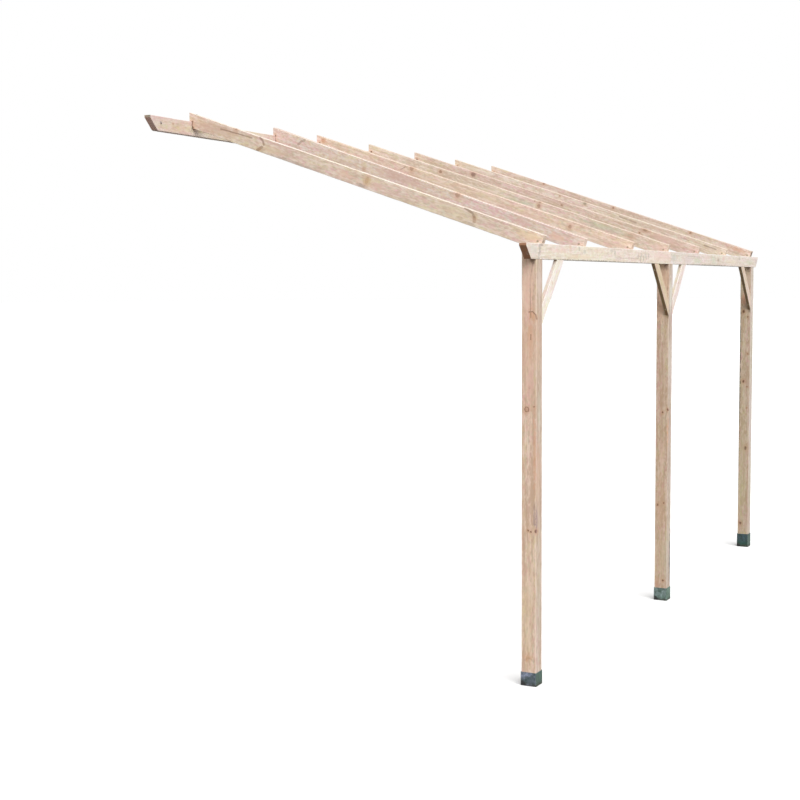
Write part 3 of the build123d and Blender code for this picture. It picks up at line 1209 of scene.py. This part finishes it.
@dataclass
class WallPlate(LongBoard):
    """The board on the wall that carries the tops of the rafters, butted behind the middle one."""

    kind: str = "wall_plate"
    slot: str = "plate_timber"
    scatter: tuple[tuple[int, int, tuple[Face, ...]], ...] = (
        (80, 3, (Face.TOP, Face.BOTTOM)),
        (82, 6, (Face.LEFT,)),
    )
    nose_radius: float = 0.022
    hole_end_inset: float = 0.110
    hole_joint_inset: float = 0.350
    holes_per_length: int = 4
    tones: tuple[Colour, Colour] = (paint(218, 200, 187), paint(216, 198, 185))

    @staticmethod
    def marks() -> tuple[list[Mark], list[Mark]]:
        """Knots, stains, painted light and painted shade of each length. The right face looks out."""
        near = [
            Stain(-2, 41, 7, 14, (128, 128, 108), 0.9, 80), Stain(50, 0, 70, 44, (226, 206, 206), 0.45),
            # Painted light where the first rafter's heel shades the plate
            Stain(520, -34, 120, 18, (242, 228, 214), 0.8), Stain(476, -24, 40, 24, (254, 236, 224), 0.9),
            Stain(300, -10, 60, 20, RESIN, 0.18), Stain(110, 4, 13, 13, (110, 110, 116), 0.6),
            # The first two patches are painted shade: dark lines where the rafters' hooks meet the plate
            Stain(434, 0, 5, 46, SHADE_AND_GRIME, 0.4), Stain(1405, 0, 5, 46, SHADE_AND_GRIME, 0.35),
            Stain(1100, 30, 300, 14, (236, 222, 200), 0.55), Knot(235, 12, 6, 1.3, 0.6),
        ]
        return (near, [Knot(720, 10, 9, 1.2, 0.2), Knot(1900, -12, 11, 1.2, 0.1)])

    def build(self) -> None:
        """Build both lengths."""
        for number, (end, tone, marks) in enumerate(zip(("near", "far"), self.tones, self.marks())):
            low, high = self.box(end)
            middle = (low + high) / 2
            start, inward = (low.x, 1) if end == "near" else (high.x, -1)
            span = high.x - low.x - self.hole_end_inset - self.hole_joint_inset
            steps = [span * place / (self.holes_per_length - 1) for place in range(self.holes_per_length)]
            holes = [
                Vector((start + inward * (self.hole_end_inset + step), middle.y, middle.z)) for step in steps
            ]
            heel = Vector((start + inward * self.undercut, middle.y, low.z))
            wood = Softwood(
                tone, pith=(-0.060, 0.010), lean=(0.005, -0.004), ring_width=0.0040, streak=0.4,
                # Painted light: the plate's undercut ends are made lighter than end grain
                blotch=0.6, seed=9.1 + number, flush=2.0, end_grain_and_light=(1.07, 0.82, 0.75),
            )
            self.lay(number, end, wood, marks, nose=(heel, self.nose_radius), holes=holes)


@dataclass
class Rafters:
    """The seven rafters on edge, notched over the beam and hooked over the wall plate.

    Attributes:
        thickness: Thickness of a rafter.
        depth: Depth of a rafter.
        pitch: Slope of the roof.
        beam_notch: Depth of the notch over the beam, at the beam's back.
        seat_setback: How far the foot stops short of the beam's front.
        hook: How far the hook reaches over the wall plate.
        places: Where each centre line crosses the back of the beam and the front of the wall plate.
        tones: Colour of each rafter.
        near_top_highlight: Factor of the top face of the first rafter, painted light that makes it paler and
            cooler.
        other_tops_shade: Factor of the top faces of the others, painted shade that makes them darker.
    """

    thickness: float = 0.045
    depth: float = 0.090
    pitch: float = math.radians(18.9)
    beam_notch: float = 0.030
    seat_setback: float = 0.008
    hook: float = 0.020
    places: tuple[Pair, ...] = (
        (-2.400, -2.400),
        (-1.719, -1.403),
        (-0.800, -0.800),
        (0.000, 0.000),
        (0.800, 0.800),
        (1.600, 1.600),
        (2.440, 2.400),
    )
    tones: tuple[Colour, ...] = (
        paint(228, 209, 193),
        paint(242, 219, 208),
        paint(236, 212, 195),
        paint(233, 214, 198),
        paint(227, 205, 190),
        paint(236, 219, 203),
        paint(230, 210, 195),
    )
    near_top_highlight: Colour = (0.98, 1.08, 1.20)
    other_tops_shade: Colour = (0.76, 0.77, 0.78)

    @staticmethod
    def marks() -> tuple[list[Mark], ...]:
        """Knots, checks, stains and painted shade of each rafter. The left face looks to the near end."""
        first = on(
            Face.LEFT,
            Check(((2050, 22), (2170, 17), (2295, 10)), 4.4, 0.5),
            Check(((1992, 40), (1966, 26), (1952, 6)), 7, 0.5),
            Check(((1962, -12), (1974, -26), (1988, -40)), 10, 0.58),
            Check(((500, 44), (445, 30), (425, 10)), 7.5, 0.54),
            Check(((425, 10), (418, -14)), 10, 0.66), Knot(1176, 6, 25, 0.5, 0.68),
            Stain(1978, -26, 26, 16, (206, 164, 118), 0.5), Stain(424, 4, 22, 22, (214, 176, 136), 0.45),
            Stain(1168, 4, 34, 30, (218, 186, 138), 0.45), Stain(1205, -32, 40, 10, (166, 150, 142), 0.6),
            Stain(440, -34, 50, 9, (186, 164, 146), 0.5), Stain(560, 6, 120, 26, (232, 216, 182), 0.35),
            Stain(1330, 0, 70, 24, (232, 192, 160), 0.38), Stain(1880, -10, 90, 28, (226, 200, 162), 0.38),
            Stain(60, 10, 90, 30, (240, 208, 168), 0.45), Stain(1100, 0, 50, 28, ROSE, 0.6),
            Stain(2360, 0, 220, 40, (210, 176, 152), 0.5), Stain(1720, -36, 260, 9, (176, 160, 150), 0.45),
            # The last patch is painted shade on the sawn foot end
            Stain(-27, 0, 3, 22, SHADE_AND_GRIME, 0.55, 80),
        )
        second = on(
            Face.LEFT,
            Knot(945, 34, 18, 1.2, 0.62), Check(((2275, 34), (2300, 20), (2322, -8)), 9, 0.62),
            Knot(1722, -12, 12, 1.2, 0.75), Stain(160, -5, 70, 24, (246, 206, 176), 0.55),
            Stain(1400, 10, 280, 32, ROSE, 0.5), Stain(420, 10, 80, 26, ROSE, 0.45),
            Stain(1720, 10, 30, 20, (228, 212, 172), 0.45),
        )
        third = on(
            Face.LEFT,
            Knot(438, 5, 14, 1, 0.58), Knot(1725, 36, 17, 1.1, 0.58), Check(((1780, 30), (1806, 4)), 4, 0.6),
            Stain(2490, 18, 26, 26, RESIN, 0.3), Knot(2497, 22, 12, 1, 0.72),
            Stain(1100, 20, 110, 26, (234, 214, 184), 0.3), Stain(700, -10, 120, 20, ROSE, 0.4),
        )
        fourth = on(
            Face.LEFT,
            Knot(1022, 41, 12, 1, 0.62), Knot(1022, 11, 15, 1, 0.55), Knot(1065, 36, 5, 1, 0.4),
            Knot(1885, 19, 15, 1, 0.5), Knot(270, 17, 17, 1.3, 0.78), Stain(480, 16, 220, 24, ALGAE, 0.35),
            Stain(1180, 0, 130, 26, ALGAE, 0.3), Stain(40, 0, 60, 30, ROSE, 0.45),
        )
        fifth = on(
            Face.LEFT,
            Knot(432, 36, 12, 1.6, 0.3), Knot(468, 3, 7, 1.2, 0.45), Knot(1155, 16, 8.5, 1.2, 0.5),
            Knot(1980, 24, 20, 1.1, 0.5), Stain(430, 34, 65, 16, (190, 160, 132), 0.5),
            Stain(1980, 24, 24, 22, (150, 124, 114), 0.55), Stain(280, 20, 150, 26, ROSE, 0.6),
        )
        sixth = on(
            Face.LEFT,
            Check(((60, 17), (165, 18)), 5.5, 0.55), Check(((300, 15), (370, 16)), 5.5, 0.68),
            Check(((780, 16), (935, 24)), 6.5, 0.62), Knot(1265, 35, 12, 1.2, 0.6),
            Stain(1265, 35, 30, 14, (160, 160, 138), 0.5), Knot(1505, 30, 7, 1.2, 0.6),
        )
        seventh = on(
            Face.LEFT,
            Knot(545, 30, 12, 1.1, 0.52), Knot(1295, 27, 12, 1, 0.5), Knot(2005, 38.6, 11, 1.2, 0.5),
            # The second patch is painted shade on the sawn foot end
            Stain(100, 20, 80, 22, RESIN, 0.4), Stain(-27, 20, 4, 44, SHADE_AND_GRIME, 0.9, 80),
        )
        return (first, second, third, fourth, fifth, sixth, seventh)

    @staticmethod
    def _foot_dirt_and_hook_shade(seat: float, hook: float) -> list[Mark]:
        """Dirt round the foot's screws, darker wood along the seat on the beam, and painted shade in the
        joint where the hook meets the wall plate.

        Args:
            seat: Distance in millimetres from its start to the wall plate.
            hook: The same distance at the top of the wall plate, where the hook turns.

        Returns:
            The marks.
        """
        dirt_and_shade = on(
            Face.LEFT,
            # Dirt round the foot's screw; then painted shade in the joint with the wall plate, a dark line
            # with a dark dot at each end
            Stain(2, 0, 9, 9, SHADE_AND_GRIME, 0.5), Check(((seat - 2, -44), (hook - 2, -5)), 3.4, 0.2),
            Knot(hook - 3, -6, 10, 1, 0.1), Knot(seat - 3, -40, 10, 1, 0.1),
        )
        dirt_and_shade += on(Face.RIGHT, Stain(2, 0, 9, 9, SHADE_AND_GRIME, 0.5))
        # Darker along the seat on the beam
        return dirt_and_shade + on(Face.LEFT, Stain(-22, -8, 24, 7, SHADE_AND_GRIME, 0.35))

    def build(self) -> None:
        """Build all seven."""
        for number, (place, tone, marks) in enumerate(zip(self.places, self.tones, self.marks()), 1):
            self._rafter(number, place, tone, marks)

    def _rafter(self, number: int, place: Pair, tone: Colour, marks: list[Mark]) -> None:
        """Build one rafter.

        Args:
            number: Its number, from 1.
            place: Where its centre line crosses the back of the beam and the front of the wall plate.
            tone: Its colour.
            marks: Its knots, checks and stains.
        """
        beam_low, beam_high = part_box("eaves_beam_near")
        plate_low, plate_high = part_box("wall_plate_near")
        reach = plate_low.y - beam_high.y
        half = (self.thickness / 2, self.depth / 2)

        # Directions, from the turn of the rafter in plan and the slope that it then has
        skew = math.atan((place[1] - place[0]) / reach)
        slope = math.atan(math.tan(self.pitch) * math.cos(skew))
        level = Vector((math.sin(skew), math.cos(skew), 0.0))
        run = Vector((math.sin(skew) * math.cos(slope), math.cos(skew) * math.cos(slope), math.sin(slope)))
        left = Vector((-math.cos(skew), math.sin(skew), 0.0))
        up = run.cross(left)

        # The notch's lower corner on the beam's back, and the toe of the foot on the beam's top
        heel = Vector((place[0], beam_high.y, beam_high.z - self.beam_notch))
        middle = heel + up * self.depth / 2
        set_back = (beam_high.y - beam_low.y - self.seat_setback) / math.cos(skew)
        toe = Vector((heel.x, heel.y, beam_high.z)) - level * set_back

        length = reach / math.cos(skew) / math.cos(slope)
        hooked = length + (plate_high.z - heel.z - reach * math.tan(self.pitch)) * math.sin(slope)
        hidden = scattered(100 + number, length, half, 5, Face.RIGHT)
        hidden += scattered(120 + number, length, half, 3, Face.TOP, Face.BOTTOM)
        wood = Softwood(
            tone, pith=(-0.040 + 0.006 * number, -0.075 + 0.016 * number),
            lean=(0.006, 0.008 - 0.003 * number), ring_width=0.0036 + 0.0002 * number,
            streak=0.55, blotch=0.95, seed=12.0 + 1.9 * number, flush=1.8,
            # Painted light on the first rafter's top, painted shade on the others' tops
            painted_face_light=((Face.TOP, self.near_top_highlight if number == 1 else self.other_tops_shade),),
            # Painted light: the rafters' sawn ends are made paler than their sides
            end_grain_and_light=(1.13, 1.12, 1.08),
        )
        Timber(
            name=f"rafter_{number}_timber", node=f"rafter_{number}", slot="rafter_timber",
            origin=middle, along=run, left=left,
            sides=(Cut(left, middle + left * half[0]), Cut(-left, middle - left * half[0])),
            loop=[
                Cut(-up, heel), Cut(Y, plate_low), Cut(-Z, plate_high), Cut(Y, plate_low + Y * self.hook),
                Cut(up, heel + up * self.depth), Cut(-run, toe), Cut(-Z, beam_high), Cut(-Y, beam_high),
            ],
            half=half, wood=wood, marks=marks + self._foot_dirt_and_hook_shade(length / MM, hooked / MM) + hidden,
        ).build()


@dataclass
class Braces:
    """The four thin braces between the posts and the beam.

    Attributes:
        width: Width of a brace.
        arris: How much its edges are eased.
        under_face_shade: Factor of the under face, painted shade that darkens it.
        upper_face_shade: Factor of the upper face, painted shade from the post and beam above it.
        looks: Name of each brace, the side along X that it rises to, and its tone.
    """

    width: float = 0.075
    arris: float = 0.0016
    under_face_shade: Colour = (0.36, 0.285, 0.185)
    upper_face_shade: Colour = (0.77, 0.74, 0.71)
    looks: tuple[tuple[str, int, Colour], ...] = (
        ("near_post", 1, paint(247, 238, 233)),
        ("middle_post_near", -1, paint(216, 199, 175)),
        ("middle_post_far", 1, paint(241, 232, 226)),
        ("far_post", -1, paint(219, 205, 189)),
    )

    def build(self) -> None:
        """Build all four."""
        for number, (name, side, tone) in enumerate(self.looks):
            low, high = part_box(f"brace_{name}")
            lean = math.atan((high.x - low.x) / (high.z - low.z))
            foot_x, head_x = (low.x, high.x) if side > 0 else (high.x, low.x)
            tip = Vector((foot_x, low.y, low.z))
            rise = Vector((head_x, low.y, high.z)) - tip
            along = rise.normalized()
            upward = along.cross(Y)
            upward = upward if upward.z > 0 else -upward
            half = ((high.y - low.y) / 2, self.width / 2)
            marks = scattered(140 + number, rise.length, half, 2, Face.LEFT)
            marks.append(Knot(rise.length / MM * 0.55, 12, 5.5, 1.2, 0.75))
            under, upper = (Face.TOP, Face.BOTTOM) if side < 0 else (Face.BOTTOM, Face.TOP)
            wood = Softwood(
                tone, pith=(0.070, 0.020 * side), lean=(0.010, 0.006), ring_width=0.0034, streak=0.35,
                blotch=0.5, seed=30.0 + 2.3 * number, flush=1.6,
                # Painted shade on the under and upper faces
                painted_face_light=((under, self.under_face_shade), (upper, self.upper_face_shade)),
            )
            Timber(
                name=f"{name}_brace_timber", node=f"brace_{name}", slot="brace_timber",
                origin=tip + upward * self.width / 2 + Y * half[0], along=along, left=Y,
                sides=(Cut(-Y, low), Cut(Y, high)),
                loop=[
                    Cut(-upward, tip), Cut(Z, high),
                    Cut(upward, tip + Z * (self.width / math.sin(lean))), Cut(-X * side, tip),
                ],
                half=half, wood=wood, marks=marks, arris=self.arris,
            ).build()


@dataclass
class PostShoes:
    """The folded steel cups that the posts stand in.

    Attributes:
        wall: Thickness of the steel.
        fold_radius: Outer radius of the folds.
        least_radius: Least inner radius of the folds.
        rim: How much the rim and the foot are eased.
        fold_steps: Steps round a fold.
        coatings: Name and coating of each shoe.
    """

    wall: float = 0.003
    fold_radius: float = 0.005
    least_radius: float = 0.0012
    rim: float = 0.0008
    fold_steps: int = 6
    coatings: tuple[tuple[str, CoatedSteel], ...] = (
        ("near", CoatedSteel(paint(114, 121, 139), paint(40, 76, 62), 0.0, 4.0)),
        ("middle", CoatedSteel(paint(115, 131, 129), paint(78, 108, 93), 0.25, 5.0)),
        ("far", CoatedSteel(paint(45, 64, 71), paint(16, 62, 49), 0.90, 11.7)),
    )

    def build(self) -> None:
        """Build the three shoes."""
        for name, coating in self.coatings:
            low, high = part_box(f"post_shoe_{name}")
            half = (high.x - low.x) / 2
            height = high.z - low.z
            shape = bmesh.new()
            skin(shape, self._rings(half, height))
            foot = Matrix.Translation(((low.x + high.x) / 2, (low.y + high.y) / 2, low.z))
            cup = object_of(f"{name}_shoe_cup", shape, foot)
            settle(cup, coating.dress(name, half, height), "shoe_steel", f"post_shoe_{name}")

    def _rings(self, half: float, height: float) -> list[list[Vector]]:
        """Rings round the cup: outside, eased rim, inside and floor.

        Args:
            half: Half its outside width.
            height: Its height.

        Returns:
            The points of each ring, with the foot at Z 0.
        """
        inner = half - self.wall
        inner_radius = max(self.least_radius, self.fold_radius - self.wall)
        rings = (
            (half - self.rim, self.fold_radius, 0.0),
            (half, self.fold_radius, self.rim),
            (half, self.fold_radius, height * 0.5),
            (half, self.fold_radius, height - self.rim),
            (half - self.rim, self.fold_radius - self.rim / 2, height),
            (inner + self.rim, inner_radius + self.rim / 2, height),
            (inner, inner_radius, height - self.rim),
            (inner, inner_radius, self.wall),
        )
        return [self._rounded_square(*ring) for ring in rings]

    def _rounded_square(self, half: float, radius: float, level: float) -> list[Vector]:
        """Points round a level square with rounded corners.

        Args:
            half: Half its width.
            radius: Radius of its corners.
            level: Its height.

        Returns:
            The points.
        """
        points = []
        for quarter, (side_x, side_y) in enumerate(((1, 1), (-1, 1), (-1, -1), (1, -1))):
            for step in range(self.fold_steps + 1):
                angle = math.pi / 2 * (quarter + step / self.fold_steps)
                x = side_x * (half - radius) + radius * math.cos(angle)
                y = side_y * (half - radius) + radius * math.sin(angle)
                points.append(Vector((x, y, level)))
        return points


@dataclass
class Screws:
    """Heads of the screws that hold the joints, with six-lobed sockets.

    Attributes:
        radius: Radius of a head.
        rise: How far it stands out.
        socket: Mean radius of its socket.
        lobe: How far the lobes of the socket go out and in, over its radius.
        lobes: Number of those lobes.
        steps: Steps round a head.
        shoulder: Radius of the head's top over its radius, and height of its edge over its rise.
        socket_floor: Radius of the socket's floor over its mouth, and its height over the rise.
        foot_offset: How far the screws of a rafter's foot lie inside the back of the beam.
        head_inset: Distance of the screw in a rafter's head from its end.
        beam_nudges: Places of the screws along the beam over each post, from the post's middle.
        beam_rows: Distances of those screws from the beam's front, by turns.
        brace_inset: Distance of a brace's screws from its ends.
        shoe_shares: Places of the screws across the back of a shoe, over its width.
        shoe_level: Their height, over that of the shoe.
    """

    radius: float = 0.0046
    rise: float = 0.0009
    socket: float = 0.0022
    lobe: float = 0.16
    lobes: int = 6
    steps: int = 24
    shoulder: Pair = (0.86, 0.45)
    socket_floor: Pair = (0.9, 0.15)
    foot_offset: float = 0.002
    head_inset: float = 0.045
    beam_nudges: tuple[tuple[str, tuple[float, ...]], ...] = (
        ("near", (-0.022, 0.022)),
        ("middle", (-0.030, -0.014, 0.014, 0.030)),
        ("far", (-0.022, 0.022)),
    )
    beam_rows: Pair = (0.029, 0.016)
    brace_inset: float = 0.060
    shoe_shares: Pair = (0.3, 0.7)
    shoe_level: float = 0.58

    def build(self) -> None:
        """Build one piece of heads for each kind of joint."""
        for name, slot, spots in (
            ("rafter_foot_screws", "rafter_timber", self._rafter_feet()),
            ("rafter_head_screws", "rafter_timber", self._rafter_heads()),
            ("beam_joint_screws", "beam_timber", self._beam_tops()),
            ("brace_screws", "brace_timber", self._brace_ends()),
            ("shoe_screws", "shoe_steel", self._shoe_backs()),
        ):
            shape = bmesh.new()
            for spot, outward in spots:
                skin(shape, self._rings(spot, outward))
            settle(object_of(name, shape, Matrix()), PlatedScrew().dress(name), slot)

    def _rings(self, spot: Vector, outward: Vector) -> list[list[Vector]]:
        """Rings round one head that stands on a face.

        Args:
            spot: Its middle, on the face.
            outward: Direction that it looks in.

        Returns:
            The points of each ring.
        """
        put = Matrix.Translation(spot) @ outward.to_track_quat("Z", "Y").to_matrix().to_4x4()
        angles = [2 * math.pi * step / self.steps for step in range(self.steps)]
        rings = []
        for reach, level, lobe in (
            (self.radius, 0.0, 0.0),
            (self.radius, self.rise * self.shoulder[1], 0.0),
            (self.radius * self.shoulder[0], self.rise, 0.0),
            (self.socket, self.rise, self.lobe),
            (self.socket * self.socket_floor[0], self.rise * self.socket_floor[1], self.lobe),
        ):
            far = [reach * (1.0 + lobe * math.cos(self.lobes * angle)) for angle in angles]
            turns = [(r * math.cos(angle), r * math.sin(angle)) for r, angle in zip(far, angles)]
            rings.append([put @ Vector((x, y, level)) for x, y in turns])
        return rings

    @staticmethod
    def _rafters() -> list[bpy.types.Object]:
        """The rafters, in order."""
        numbers = range(1, len(Rafters.places) + 1)
        return [bpy.data.objects[f"rafter_{number}_timber"] for number in numbers]

    @staticmethod
    def _on(timber: bpy.types.Object, place: Triple, outward: Triple) -> Spot:
        """A place and a direction of a timber's own frame, in the carport's."""
        frame = timber.matrix_world
        return (frame @ Vector(place), (frame.to_3x3() @ Vector(outward)).normalized())

    @staticmethod
    def _end(timber: bpy.types.Object) -> float:
        """Distance from a timber's start to its farthest corner."""
        return max(vert.co.x for vert in timber.data.vertices)

    def _rafter_feet(self) -> Iterator[Spot]:
        """A screw through each side of each rafter into the beam."""
        for timber in self._rafters():
            for side in (1, -1):
                place = (self.foot_offset, side * Rafters.thickness / 2, 0.0)
                yield self._on(timber, place, (0.0, side, 0.0))

    def _rafter_heads(self) -> Iterator[Spot]:
        """A screw down through the top of each rafter into the wall plate."""
        for timber in self._rafters():
            place = (self._end(timber) - self.head_inset, 0.0, Rafters.depth / 2)
            yield self._on(timber, place, (0.0, 0.0, 1.0))

    def _beam_tops(self) -> Iterator[Spot]:
        """Screws down through the beam into the posts."""
        beam_low, beam_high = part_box("eaves_beam_near")
        for name, nudges in self.beam_nudges:
            low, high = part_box(f"post_{name}")
            for place, nudge in enumerate(nudges):
                y = beam_low.y + self.beam_rows[place % 2]
                yield (Vector(((low.x + high.x) / 2 + nudge, y, beam_high.z)), Z)

    def _brace_ends(self) -> Iterator[Spot]:
        """A screw up through the foot and the head of each brace."""
        for name, side, _ in Braces.looks:
            timber = bpy.data.objects[f"{name}_brace_timber"]
            for place in (self.brace_inset, self._end(timber) - self.brace_inset):
                yield self._on(timber, (place, 0.0, -side * Braces.width / 2), (0.0, 0.0, -side))

    def _shoe_backs(self) -> Iterator[Spot]:
        """Two screws in the back of each shoe, which the photograph doesn't show."""
        for name, _ in PostShoes.coatings:
            low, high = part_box(f"post_shoe_{name}")
            for share in self.shoe_shares:
                x = low.x + (high.x - low.x) * share
                yield (Vector((x, high.y, low.z + (high.z - low.z) * self.shoe_level)), Y)


@dataclass
class Studio:
    """Camera, lights, floor and backdrop.

    Attributes:
        camera_place: Where the photograph was taken from.
        heading: Direction of the view from X towards Y.
        pitch: How far the view looks down.
        roll: How far the camera leans.
        lens: Focal length in millimetres, on the given sensor.
        sensor: Width of the sensor in millimetres.
        sun_from: Direction that the key light comes from.
        sun_strength: Its strength.
        sun_spread: Its width, which makes its shadows soft.
        sky: Brightness of the backdrop as a light.
        bounce: Colour of the floor as it lights the carport from below.
        view_reach: How far the camera sees.
        floor_radius: Radius of the floor.
        floor_steps: Steps round it.
        floor_gap: How far the floor lies below the ground.
    """

    camera_place: Triple = (-10.0935, -5.5314, -1.0178)
    heading: float = math.radians(27.484462)
    pitch: float = math.radians(4.533842)
    roll: float = math.radians(-0.334545)
    lens: float = 64.566
    sensor: float = 36.0
    sun_from: Triple = (-0.48, -0.62, 0.62)
    sun_strength: float = 3.0
    sun_spread: float = math.radians(60)
    sky: float = 0.70
    bounce: Colour = (0.08, 0.07, 0.055)
    view_reach: float = 500.0
    floor_radius: float = 220.0
    floor_steps: int = 96
    floor_gap: float = 0.0008

    def build(self, ground: float) -> None:
        """Set up the studio.

        Args:
            ground: Height of the ground.
        """
        self._camera()
        self._sun()
        self._backdrop()
        self._floor(ground)
        bpy.context.scene.view_settings.view_transform = "Standard"

    @staticmethod
    def _hang(name: str, data: bpy.types.ID, place: Matrix) -> bpy.types.Object:
        """Put a camera or a light into the scene.

        Args:
            name: Its name.
            data: Its settings.
            place: Where it stands and how it is turned.

        Returns:
            Its object.
        """
        hung = bpy.data.objects.new(name, data)
        bpy.context.scene.collection.objects.link(hung)
        hung.matrix_world = place
        return hung

    def _camera(self) -> None:
        """Place the camera as the photograph was taken."""
        level = Vector((math.cos(self.heading), math.sin(self.heading), 0.0))
        forward = level * math.cos(self.pitch) - Z * math.sin(self.pitch)
        side = Vector((math.sin(self.heading), -math.cos(self.heading), 0.0))
        upright = side.cross(forward)
        right = side * math.cos(self.roll) + upright * math.sin(self.roll)
        top = upright * math.cos(self.roll) - side * math.sin(self.roll)
        data = bpy.data.cameras.new("photographer")
        data.lens = self.lens
        data.sensor_width = self.sensor
        data.sensor_fit = "HORIZONTAL"
        data.clip_end = self.view_reach
        turn = Matrix((right, top, -forward)).transposed().to_4x4()
        camera = self._hang("photographer", data, Matrix.Translation(self.camera_place) @ turn)
        bpy.context.scene.camera = camera

    def _sun(self) -> None:
        """Hang the soft key light."""
        data = bpy.data.lights.new("key", "SUN")
        data.energy = self.sun_strength
        data.angle = self.sun_spread
        self._hang("key", data, Vector(self.sun_from).to_track_quat("Z", "Y").to_matrix().to_4x4())

    @staticmethod
    def _seen_directly(s: Shader) -> Signal:
        """1 for rays that come from the camera or mirror in a gloss, 0 for the others."""
        path = s.node("ShaderNodeLightPath", output="Is Camera Ray")
        gloss = s.maths("MAXIMUM", path.other("Is Glossy Ray"), path.other("Is Transmission Ray"))
        return s.maths("MAXIMUM", path, gloss)

    def _backdrop(self) -> None:
        """Surround everything with white that lights no more than a plain room."""
        world = bpy.data.worlds.new("room")
        bpy.context.scene.world = world
        s = Shader(world)
        lit = s.node("ShaderNodeBackground", {"Color": (self.sky, self.sky, self.sky), "Strength": 1.0})
        seen = s.node("ShaderNodeBackground", {"Color": (1.0, 1.0, 1.0), "Strength": 1.0})
        both = s.node("ShaderNodeMixShader", {0: self._seen_directly(s), 1: lit, 2: seen})
        s.send(both, "ShaderNodeOutputWorld")

    def _floor(self, ground: float) -> None:
        """Lay the pale floor.

        Args:
            ground: Height of the ground.
        """
        shape = bmesh.new()
        bmesh.ops.create_circle(shape, cap_ends=True, segments=self.floor_steps, radius=self.floor_radius)
        floor = object_of("floor", shape, Matrix.Translation(Z * (ground - self.floor_gap)))
        s = Shader.of_material("pale_floor")
        colour = s.mix(self._seen_directly(s), self.bounce, (1.0, 1.0, 1.0))
        s.send(s.node("ShaderNodeBsdfDiffuse", {"Color": colour}), "ShaderNodeOutputMaterial")
        floor.data.materials.append(s.owner)


def main() -> None:
    """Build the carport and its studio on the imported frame."""
    logging.basicConfig(level=logging.INFO, format="%(name)s: %(message)s")
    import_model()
    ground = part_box("post_shoe_near")[0].z
    Studio().build(ground)
    for assembly in (Posts(), EavesBeam(), WallPlate(), Rafters(), Braces(), PostShoes(), Screws()):
        assembly.build()
        log.info("%s done", type(assembly).__name__)
    bpy.context.view_layer.update()


if __name__ == "__main__":
    main()
